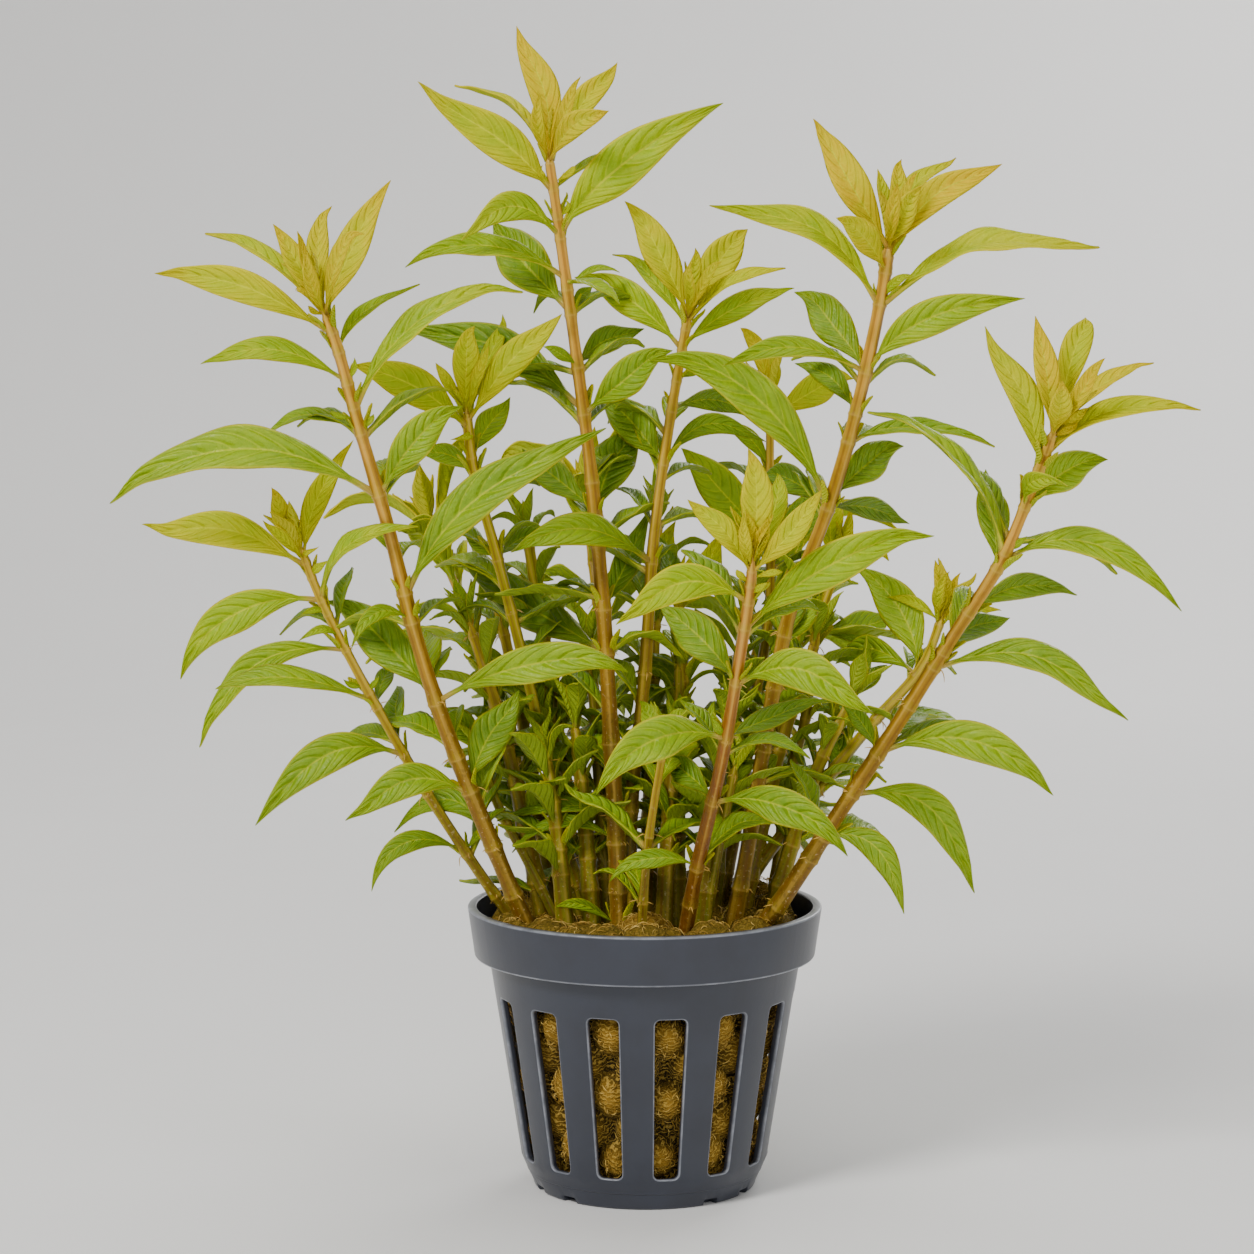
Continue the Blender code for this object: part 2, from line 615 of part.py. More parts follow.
def smooth_path(points, count):
    """Points evenly spread along a smooth curve through the given points."""
    control = [2 * points[0] - points[1], *points, 2 * points[-1] - points[-2]]
    spans = len(points) - 1
    path = []
    for i in range(count):
        where = spans * i / (count - 1)
        span = min(int(where), spans - 1)
        t = where - span
        a, b, c, d = control[span:span + 4]
        path.append(0.5 * (2 * b + (c - a) * t + (2 * a - 5 * b + 4 * c - d) * t * t
                           + (3 * b - a - 3 * c + d) * t * t * t))
    return path


class Stem:
    """The centre line of a stem from its foot up, with its radius along it."""

    def __init__(self, points, radius_foot, radius_top):
        length = (points[-1] - points[0]).length
        count = min(STEM_POINTS_LEAST + int(length / STEM_SPAN), STEM_POINTS_MOST)
        self.path = smooth_path(points, count)
        self.radii = [radius_foot + (radius_top - radius_foot) * i / (count - 1)
                      for i in range(count)]

    def nearest(self, target):
        """The place on the centre line nearest to a point, and the radius there."""
        best = None
        for i in range(len(self.path) - 1):
            run = self.path[i + 1] - self.path[i]
            share = (target - self.path[i]).dot(run) / run.length_squared
            share = min(max(share, 0.0), 1.0)
            place = self.path[i] + run * share
            away = (target - place).length
            if best is None or away < best[0]:
                radius = self.radii[i] + (self.radii[i + 1] - self.radii[i]) * share
                best = (away, place, radius, run.normalized())
        return best[1:]


def seen_stem(row):
    column, (depth_foot, depth_top), (radius_foot, radius_top), marks = row
    top_row = marks[0][1]
    points = []
    for mark_column, mark_row in reversed(marks):
        share = (FOOT_ROW - mark_row) / (FOOT_ROW - top_row)
        depth = depth_foot + (depth_top - depth_foot) * share
        points.append(seen(mark_column, mark_row, depth * MM))
    foot = foot_point(column, depth_foot * MM, radius_foot * MM, points[0])
    return Stem((foot, *points), radius_foot * MM, radius_top * MM)


def stem_object(group, name, stem, material):
    """A tapered tube with filled ends along the stem's centre line."""
    curve = bpy.data.curves.new(name, "CURVE")
    curve.dimensions = "3D"
    curve.bevel_depth = 1.0
    curve.bevel_resolution = STEM_BEVEL
    curve.use_fill_caps = True
    line = curve.splines.new("POLY")
    line.points.add(len(stem.path) - 1)
    for point, place, radius in zip(line.points, stem.path, stem.radii):
        point.co = (*place, 1.0)
        point.radius = radius
    tube = bpy.data.objects.new(name + "_line", curve)
    group.objects.link(tube)
    mesh = evaluated_mesh(tube)
    bpy.data.objects.remove(tube, do_unlink=True)
    return object_from(group, name, mesh, material)


def leaf_width(share):
    """The blade's width along the leaf, 0 to 1: a narrow foot, widest before the middle."""
    shape = math.sin(math.pi * share ** LEAF_SPREAD) ** LEAF_TAPER
    foot = min(share / LEAF_FOOT, 1.0)
    return max(shape * foot * (2 - foot), LEAF_NECK * (1 - share))


def leaf_mesh(name, start, middle, tip, width, facing, rings, thick):
    """A folded blade lofted along an arched midrib.

    The midrib is the parabola through the three points. At each ring the section is a flat
    diamond whose two edges are lifted towards the facing side.
    """
    bend = 2 * middle - (start + tip) / 2
    sections = []
    for share in rings:
        place = start * (1 - share) ** 2 + bend * 2 * share * (1 - share) + tip * share ** 2
        along = ((bend - start) * (1 - share) + (tip - bend) * share).normalized()
        normal = (facing - along * facing.dot(along)).normalized()
        side = along.cross(normal)
        half = width / 2 * leaf_width(share)
        lift = normal * half * LEAF_FOLD
        body = normal * min(thick / 2, half * LEAF_BODY)
        sections.append((place + side * half + lift, place + body,
                         place - side * half + lift, place - body))
    points = [start, *[point for section in sections for point in section], tip]
    last = len(points) - 1
    faces = []
    for k in range(4):
        n = (k + 1) % 4
        faces.append((0, 1 + k, 1 + n))
        for ring in range(len(sections) - 1):
            low = 1 + 4 * ring
            faces.append((low + k, low + 4 + k, low + 4 + n, low + n))
        top = last - 4
        faces.append((top + k, last, top + n))
    mesh = bpy.data.meshes.new(name)
    mesh.from_pydata(points, [], faces)
    work = bmesh.new()
    work.from_mesh(mesh)
    bmesh.ops.triangulate(work, faces=work.faces)
    bmesh.ops.recalc_face_normals(work, faces=work.faces)
    work.to_mesh(mesh)
    work.free()
    return mesh


def facing_of(start, tip, seen_width, width):
    """The side that a blade turns to the front: its width as seen sets how far it leans up."""
    along = (tip - start).normalized()
    front = -VIEW_AHEAD
    front = (front - along * front.dot(along)).normalized()
    upward = along.cross(front)
    if upward.z < 0:
        upward = -upward
    lean = math.acos(min(seen_width / width, 1.0))
    return front * math.cos(lean) + upward * math.sin(lean)


def seen_leaf(name, stem, row, rings, clear):
    """The mesh of one leaf row. With clear, the leaf stops short of its stem's side."""
    (foot_column, foot_row), middle_mark, tip_mark, seen_px, (middle_step, tip_step) = row
    rough = seen(foot_column, foot_row, stem.path[-1].y)
    for _ in range(3):
        place, radius, along_stem = stem.nearest(rough)
        rough = seen(foot_column, foot_row, place.y)
    depth = place.y
    middle = seen(*middle_mark, depth + middle_step * MM)
    tip = seen(*tip_mark, depth + tip_step * MM)
    start = place
    if clear:
        out = middle - place
        out -= along_stem * out.dot(along_stem)
        start = place + out.normalized() * (radius + LEAF_CLEAR)
    seen_width = seen_px * PIXEL
    width = max(seen_width, LEAF_SLENDER * (tip - start).length)
    facing = facing_of(start, tip, seen_width, width)
    return leaf_mesh(name, start, middle, tip, width, facing, rings, LEAF_THICK)


def make_seen_stems(parts):
    bark = finish("stem_green_brown")
    for name, row in STEMS.items():
        stem = seen_stem(row)
        body = stem_object(parts, name + "_stem", stem, bark)
        small = []
        for i, leaf in enumerate(SMALL_LEAVES.get(name, ())):
            start, _, tip = (Vector(mark) for mark in leaf[:3])
            short = (tip - start).length * PIXEL < SHORT_LEAF
            rings = SHORT_RINGS if short else SMALL_RINGS
            mesh = seen_leaf("leaf", stem, leaf, rings, False)
            small.append(object_from(parts, name + "_small_" + str(i), mesh, bark))
        if small:
            union(body, small)
        body.data.shade_smooth()
        body.data.set_sharp_from_angle(angle=STEM_SHARP)


def make_blades(parts):
    green = finish("leaf_green")
    for name, leaves in BLADES.items():
        stem = seen_stem(STEMS[name])
        for leaf_name, leaf in leaves.items():
            node = name + "_" + leaf_name
            mesh = seen_leaf(node, stem, leaf, BLADE_RINGS, True)
            object_from(parts, node, mesh, green)


def make_back_shoots(parts):
    """Leaning shoots with crossed leaf pairs, which grow longer towards the top."""
    shade = finish("shoot_green")
    for name, ((foot_x, foot_y), top, pairs) in BACK_SHOOTS.items():
        foot = Vector((foot_x * MM, foot_y * MM, WOOL_TOP + GAP))
        head = Vector(top) * MM
        bow = foot.lerp(head, 0.5) + Vector((0.0, 0.0, SHOOT_BOW))
        foot.z += tilt_rise(foot, bow, SHOOT_RADIUS[0])
        stem = Stem((foot, bow, head), *SHOOT_RADIUS)
        body = stem_object(parts, name, stem, shade)
        leaves = []
        for pair in range(pairs):
            share = SHOOT_FIRST_PAIR
            share += (SHOOT_LAST_PAIR - SHOOT_FIRST_PAIR) * (pair + 1) / pairs
            where = share * (len(stem.path) - 1)
            i = min(int(where), len(stem.path) - 2)
            start = stem.path[i].lerp(stem.path[i + 1], where - i)
            along = (stem.path[i + 1] - stem.path[i]).normalized()
            turn = SHOOT_FIRST_TURN + SHOOT_TURN * pair
            across = along.orthogonal().normalized()
            across.rotate(Matrix.Rotation(turn, 3, along))
            lift = SHOOT_LIFT_LOW + SHOOT_LIFT_GAIN * (pair + 1) / pairs
            droop = Vector((0.0, 0.0, SHOOT_LEAF_DROOP))
            for side in (-1, 1):
                out = across * side
                reach = (out + along * lift).normalized() * SHOOT_LEAF_LONG
                tip = start + reach - droop
                middle = start + reach * 0.5 + SHOOT_LEAF_ARCH * droop
                facing = (along - out * SHOOT_LEAF_LEAN).normalized()
                mesh = leaf_mesh("leaf", start, middle, tip, SHOOT_LEAF_WIDE, facing,
                                 SMALL_RINGS, LEAF_THICK)
                leaves.append(object_from(parts, name + "_leaf", mesh, shade))
        union(body, leaves)
        body.data.shade_smooth()
        body.data.set_sharp_from_angle(angle=STEM_SHARP)


def main():
    remove_everything()
    parts = new_collection("potted_golden_ammannia")
    cutters = new_collection("cutters")
    make_net_pot(parts, cutters)
    make_wool(parts)
    make_seen_stems(parts)
    make_blades(parts)
    make_back_shoots(parts)


main()
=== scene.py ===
"""Looks of the potted golden ammannia: the slotted net pot, its fibrous growing wool, and the
bunch of leafy stems that stand in it.

The stems and leaves are placed as they are seen from the front: each is given by the pixel
columns and rows where it shows in the reference view, and by its depth in mm behind the pot's
axis. Everything is in metres, +Z up, with the origin at the centre of the pot's underside.
"""
import math

import bmesh
import bpy
import numpy as np
from mathutils import Matrix


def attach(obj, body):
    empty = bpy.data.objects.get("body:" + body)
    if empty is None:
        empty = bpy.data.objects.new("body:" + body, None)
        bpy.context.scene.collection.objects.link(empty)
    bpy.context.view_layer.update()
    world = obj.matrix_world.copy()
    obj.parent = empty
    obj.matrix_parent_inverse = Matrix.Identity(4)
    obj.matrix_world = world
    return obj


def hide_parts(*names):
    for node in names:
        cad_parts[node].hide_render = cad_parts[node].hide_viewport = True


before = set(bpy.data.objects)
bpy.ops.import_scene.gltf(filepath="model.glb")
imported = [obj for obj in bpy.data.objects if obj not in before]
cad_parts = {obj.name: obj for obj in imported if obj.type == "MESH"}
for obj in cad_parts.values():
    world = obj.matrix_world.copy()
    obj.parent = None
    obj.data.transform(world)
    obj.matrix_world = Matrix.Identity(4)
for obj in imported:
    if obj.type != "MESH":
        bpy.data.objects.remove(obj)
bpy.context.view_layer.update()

MM = 0.001
BODY = "root"
RANDOM_SEED = 41
SHOOT_SEED = 100
SPRIG_SEED = 200

# The reference view
VIEW_FROM = np.array((-2.5, -500.0, 133.0)) * MM
VIEW_TO = np.array((-2.5, 0.0, 79.3)) * MM
VIEW_FOCAL = 3592.0
VIEW_FRAME = 1254.0
VIEW_CENTRE = VIEW_FRAME / 2
VIEW_AHEAD = (VIEW_TO - VIEW_FROM) / np.linalg.norm(VIEW_TO - VIEW_FROM)
VIEW_RIGHT = np.array((1.0, 0.0, 0.0))
VIEW_UP = np.cross(VIEW_RIGHT, VIEW_AHEAD)
SENSOR = 36.0
PIXEL = 0.14 * MM
FOOT_ROW = 945.0

# The net pot
RIM_RADIUS = 25.0 * MM
POT_HEIGHT = 40.0 * MM
RIM_BAND_LOW = 33.0 * MM
RIM_BAND_LOW_RADIUS = 24.0 * MM
RIM_LIP = 1.3 * MM
BODY_TOP_RADIUS = 22.0 * MM
BODY_LOW_RADIUS = 17.5 * MM
BODY_LOW = 4.5 * MM
BASE_RADIUS = 16.0 * MM
BASE_ROUND = 0.9 * MM
POT_WALL = 1.1 * MM
SLOT_COUNT = 14
SLOT_TURN = math.radians(9.6)
SLOT_LOW = 4.7 * MM
SLOT_HIGH = 27.8 * MM
SLOT_WIDTH_LOW = 3.5 * MM
SLOT_WIDTH_HIGH = 4.5 * MM
SLOT_CORNER = 0.8 * MM
SLOT_FILLET = 0.22 * MM
NOTCH_WIDTH = 2.3 * MM
NOTCH_HEIGHT = 0.9 * MM
NOTCH_DEEP = 1.7 * MM
NOTCH_SLOTS = (1, 2, 4, 5, 8, 9, 11, 12)
TILE_LOW = 2.6 * MM
TILE_HIGH = 29.6 * MM
TILE_ACROSS = (-1.0, -0.94, -0.87, -0.79, -0.68, -0.5, -0.34, -0.305, -0.1)
TILE_UPWARD = (-1.0, -0.99, -0.978, -0.965, -0.95, -0.92, -0.8, -0.6, -0.4, -0.15)
SEAM = 0.004 * MM
POT_SHARP = math.radians(50)

# The growing wool. Its rises, lumps and strands are in mm, the rest in metres
WOOL_TOP = 36.0 * MM
WOOL_CLEAR = 0.45 * MM
WOOL_BALL = 3.9 * MM
WOOL_ROWS = 3
WOOL_FLOOR = 1.6 * MM
WOOL_RISE = 2.7
WOOL_RISE_BACK = 1.5
WOOL_RISE_FROM = 7.0
WOOL_RISE_TO = 19.0
WOOL_SPREAD = 22.3 * MM
WOOL_SHELF = 35.5 * MM
WOOL_EDGE = 1.2 * MM
WOOL_COVER = 1.3 * MM
WOOL_CORE = 2.7 * MM
WOOL_DEEP = 2.6 * MM
WOOL_MESH = (300, 100, 40)
BALL_TURN = 0.035
BALL_SHIFT = 0.5 * MM
BALL_SIZES = (0.82, 1.05)
SIDE_RIPPLES = ((0.16 * MM, 1.3 * MM), (0.10 * MM, 0.6 * MM))
TOP_RIPPLES = ((0.20 * MM, 2.2 * MM), (0.12 * MM, 0.9 * MM))
LUMP_SIZES = (2.0, 3.3)
LUMP_ROUND = (0.8, 1.2)
LUMP_RISE = (0.5, 0.75)
TOP_LUMPS = 52
TOP_LUMP_SPREAD = 21.5
GOLDEN_TURN = math.pi * (3 - math.sqrt(5))
FIBRES_EACH = 53
FIBRES_HIDDEN = 3
FIBRES_TOP = 22
FIBRE_STEPS = 6
FIBRE_SIDES = (0.0, 2.1, 4.2)
SIDE_STRAND = (0.8, 2.0)
SIDE_SPREAD = 0.42
SIDE_CURL = 2.2
SIDE_LIFT = (0.1, 0.5)
TOP_STRAND = (1.0, 2.6)
TOP_SPREAD = 0.45
TOP_CURL = 2.4
TOP_LIFT = (0.05, 0.3)
FIBRE_RADIUS = (0.05 * MM, 0.085 * MM)

# Leaves and stems, in metres and shares
GAP = 0.3 * MM
TILT_MARGIN = 1.15
LEAF_SLENDER = 0.17
LEAF_FOLD = 0.40
CROWN_FOLD = 0.75
LEAF_STALK = 0.05
LEAF_SPREAD = 0.93
LEAF_TAPER = 1.3
LEAF_NECK = 0.15
BUD_TAPER = 0.6
LEAF_THICK = 0.32 * MM
LEAF_CURL = (0.022, 0.030)
LEAF_TWIST = 0.32
LEAF_WAVE = 0.13
MIDRIB = (0.42 * MM, 0.05 * MM)
AGE_REACH = 12.5
VEIN_PAIRS = 9.5
VEIN_RISE = (0.10, 0.13)
VEIN_SHIFT = 0.18
STEM_STEP = 0.8 * MM
STALK_STEP = 2.2 * MM
STEM_SIDES = 16
STEM_SUNK = 1.6 * MM
STEM_SWELL = 0.16
STEM_SCAR = 0.07
STEM_WAIST = 0.05
STEM_WOBBLE = 0.03
JOINT_RINGS = np.array((-1.0, -0.6, -0.35, -0.15, 0.1, 0.4, 0.9)) * MM
BARE_STEP = (7.5 * MM, 11.0 * MM)
BARE_CLEAR = 4.0 * MM
JOINT_PART = 3
OLD_BELOW = 95.0 * MM
GREEN_ABOVE = 50.0 * MM
BLADE_DETAIL = (48, 17)
SHOOT_DETAIL = (34, 13)
SMALL_DETAIL = (24, 9)
CROWN_DETAIL = (18, 9)
INNER_DETAIL = (15, 7)
BUD_DETAIL = (9, 5)
CROWN_LEAVES = 6
FRONT_MOST = -30.0 * MM
SPRIG_RADIUS = (1.35 * MM, 0.7 * MM)
SPRIG_PAIRS = 6
SPRIG_FIRST_PAIR = 0.34
SPRIG_LAST_PAIR = 0.96
SPRIG_HUE = 0.2
SPRIG_AGE = 0.42
INNER_REACH = (0.22, 0.80)
INNER_PAIRS_ELSE = 3
INNER_PAIRS = {"tall": 9, "left": 7, "right": 7, "far_right": 4, "middle": 9, "back": 10,
               "inner_left": 9, "side": 6, "thin_right": 7, "thin_middle": 7}
STEM_HUES = {"front": 0.9, "far_left": 0.22, "left": 0.46, "inner_left": 0.08, "side": 0.12,
             "olive": 0.05, "green": 0.0, "thin_right": 0.12, "thin_middle": 0.1,
             "back": 0.25, "tall": 0.5, "middle": 0.28, "right": 0.42, "far_right": 0.52,
             "short_front": 0.25, "short_right": 0.1}
STEM_AGES = {"middle": 0.10, "front": 0.10, "inner_left": 0.15, "far_left": 0.11,
             "side": 0.07, "far_right": 0.04, "left": 0.03, "thin_right": 0.06, "back": 0.05,
             "thin_middle": 0.10, "short_front": 0.38, "short_right": 0.38, "olive": 0.38,
             "green": 0.38}
ROOTLETS_BELOW = 48.0 * MM
ROOTLETS_EACH = 3
ROOTLET_STEPS = 5
ROOTLET_LONG = (0.7 * MM, 1.5 * MM)
ROOTLET_RADIUS = 0.09 * MM

# Ranges to draw leaves from: turns in radians, lengths and droops in mm, the rest shares
CROWN_TURN = 0.3
CROWN_LONG = (4.5, 8.5)
CROWN_SLENDER = (0.22, 0.3)
CROWN_LIFT = (1.6, 4.0)
BUDS_MISSING = 0.2
BUD_TURN = 0.7
BUD_LONG = (2.2, 4.0)
BUD_SLENDER = 0.5
BUD_LIFT = (1.6, 3.4)
BUD_AGE = 0.22
INNER_EACH = 2
INNER_LONG = (9.0, 16.0)
INNER_SLENDER = (0.27, 0.34)
INNER_LIFT = (0.1, 0.8)
INNER_DROOP = (0.5, 3.5)
INNER_AGE = (0.45, 0.80)
SPRIG_LONG = (11.0, 16.5)
SPRIG_SLENDER = (0.26, 0.33)
SPRIG_DROOP = (0.5, 3.0)

# The stage, in metres
SWEEP_FRONT = 1.4
SWEEP_BACK = 0.5
SWEEP_BEND = 0.4
SWEEP_HIGH = 1.6
SWEEP_WIDE = 1.8
SURROUND = 0.22
LIGHT_TARGET = (0.0, 0.0, 0.08)
LIGHTS = {
    "key": ((-0.50, -0.62, 0.72), 0.32, 7.8, (1.0, 0.985, 0.96)),
    "front": ((0.05, -1.1, 0.5), 0.6, 2.3, (1.0, 0.995, 0.98)),
    "fill": ((0.75, -0.50, 0.30), 0.6, 1.6, (0.97, 0.985, 1.0)),
    "top": ((0.1, 0.15, 0.95), 0.5, 2.0, (1.0, 1.0, 1.0)),
    "back": ((0.35, 0.75, 0.5), 0.5, 3.0, (1.0, 1.0, 1.0)),
}

# Each stem: the column of its foot, its depth in mm at foot and top, its radius in mm at foot
# and top, and the (column, row) points that it passes, from the top down
STEMS = {
    "tall": (619, (-6, -1), (1.2, 0.7),
             ((548, 150), (560, 235), (577, 362), (590, 465), (601, 580), (609, 700), (617, 850))),
    "left": (531, (-7, -19), (1.2, 0.7),
             ((322, 305), (338, 350), (360, 430), (389, 530), (417, 640), (450, 740), (503, 870))),
    "right": (733, (-2, -7), (1.2, 0.8),
              ((890, 238), (880, 303), (857, 408), (829, 505), (790, 612), (766, 735),
               (751, 830))),
    "far_right": (747, (-9, -28), (1.2, 0.7),
                  ((1056, 425), (1037, 475), (1002, 560), (952, 638), (898, 723), (834, 820),
                   (776, 908))),
    "middle": (629, (1, 1), (1.0, 0.65),
               ((690, 308), (682, 350), (667, 440), (653, 545), (645, 670), (632, 800))),
    "front": (684, (-10, -33), (1.0, 0.65),
              ((753, 558), (748, 605), (736, 682), (720, 770), (697, 868))),
    "far_left": (519, (-1, -9), (0.85, 0.55),
                 ((300, 545), (320, 597), (362, 680), (421, 783), (481, 875))),
    "inner_left": (591, (4, 1), (0.95, 0.65),
                   ((466, 405), (474, 472), (498, 560), (532, 695), (562, 830))),
    "side": (728, (5, 2), (1.05, 0.6),
             ((944, 612), (921, 668), (870, 726), (812, 797), (757, 868))),
    "back": (718, (11, 24), (0.85, 0.6),
             ((770, 395), (770, 470), (769, 610), (755, 700), (738, 820))),
    "olive": (561, (-1, 3), (0.75, 0.6),
              ((480, 750), (497, 803), (532, 870))),
    "green": (611, (2, 6), (0.75, 0.6),
              ((548, 720), (580, 815), (604, 862))),
    "thin_right": (764, (6, 12), (0.8, 0.6),
                   ((840, 560), (816, 634), (806, 716), (788, 785), (774, 890))),
    "thin_middle": (671, (7, 9), (0.7, 0.6),
                    ((678, 600), (685, 707), (679, 831), (672, 908))),
    "short_front": (642, (-13, -15), (0.7, 0.55),
                    ((664, 745), (650, 831), (643, 905))),
    "short_right": (703, (-3, -4), (0.8, 0.6),
                    ((736, 762), (722, 831), (708, 905))),
}

# Each leaf that is a piece of its own: the column and row where it leaves its stem, those of its
# middle and of its tip, its width as seen, and how many mm deeper than the stem its middle and
# its tip lie
BLADES = {
    "tall": {
        "leaf_1_left": (549, 190, 497, 140, 415, 83, 40, -2, -4),
        "leaf_2_right": (566, 228, 620, 165, 726, 104, 48, -1, -3),
        "leaf_3_left": (560, 275, 485, 245, 404, 267, 24, -4, -7),
        "leaf_4_left": (563, 310, 525, 262, 490, 224, 50, 4, 8),
        "leaf_6_left": (575, 408, 500, 350, 398, 325, 42, 9, 13),
        "leaf_6_right": (590, 412, 628, 375, 672, 348, 36, -3, -5),
    },
    "left": {
        "leaf_1_left": (325, 334, 240, 287, 154, 268, 32, 1, 2),
        "leaf_4_right": (360, 402, 420, 320, 525, 286, 26, -1, 1),
        "leaf_6_left": (370, 497, 240, 451, 101, 497, 42, -2, -1),
        "leaf_6_right": (387, 493, 415, 440, 462, 403, 36, -1, 1),
        "leaf_7_right": (413, 592, 480, 500, 607, 424, 42, -2, -2),
        "leaf_9_left": (430, 698, 385, 640, 326, 596, 44, 7, 10),
        "leaf_9_right": (447, 700, 540, 660, 628, 676, 38, -5, -7),
        "leaf_10_left": (467, 790, 405, 783, 346, 824, 34, -3, -4),
    },
    "right": {
        "leaf_1_left": (874, 303, 810, 232, 709, 201, 30, -2, -4),
        "leaf_1_right": (886, 305, 985, 250, 1102, 243, 24, -2, -4),
        "leaf_2_left": (866, 370, 790, 349, 722, 366, 22, -5, -9),
        "leaf_2_right": (873, 368, 930, 318, 1027, 298, 36, -2, -3),
        "leaf_4_right": (855, 441, 915, 427, 997, 448, 18, 1, 2),
        "leaf_5_left": (822, 500, 755, 395, 648, 356, 44, -1, -3),
        "leaf_5_right": (841, 502, 866, 463, 905, 445, 36, 4, 7),
    },
    "far_right": {
        "leaf_1_right": (1056, 456, 1115, 412, 1203, 406, 20, -2, -4),
        "leaf_2_right": (1030, 510, 1062, 472, 1110, 459, 36, 2, 4),
        "leaf_3_right": (1003, 560, 1095, 545, 1185, 613, 28, -2, -3),
        "leaf_5_right": (935, 668, 1040, 662, 1128, 724, 30, -3, -5),
        "leaf_6_right": (886, 752, 975, 742, 1058, 794, 38, -3, -4),
        "leaf_7_right": (860, 795, 930, 812, 979, 894, 36, 2, 4),
    },
    "middle": {
        "leaf_1_left": (680, 345, 630, 298, 573, 278, 34, 3, 6),
        "leaf_5_left": (652, 560, 578, 530, 507, 552, 33, -11, -13),
    },
    "front": {
        "leaf_1_left": (742, 602, 680, 585, 617, 628, 36, -2, -3),
        "leaf_2_right": (750, 627, 832, 563, 935, 530, 40, -2, -3),
        "leaf_3_right": (742, 684, 805, 673, 874, 717, 40, -4, -6),
        "leaf_4_left": (718, 740, 655, 738, 597, 796, 42, -4, -7),
        "leaf_5_right": (722, 806, 785, 805, 848, 858, 36, -5, -8),
    },
    "far_left": {
        "leaf_1_left": (299, 567, 225, 532, 141, 529, 36, 2, 3),
        "leaf_2_left": (318, 597, 235, 612, 180, 681, 38, 1, 2),
        "leaf_3_left": (343, 652, 255, 668, 194, 748, 28, -1, -1),
        "leaf_5_left": (398, 757, 325, 757, 253, 827, 38, -3, -4),
    },
}

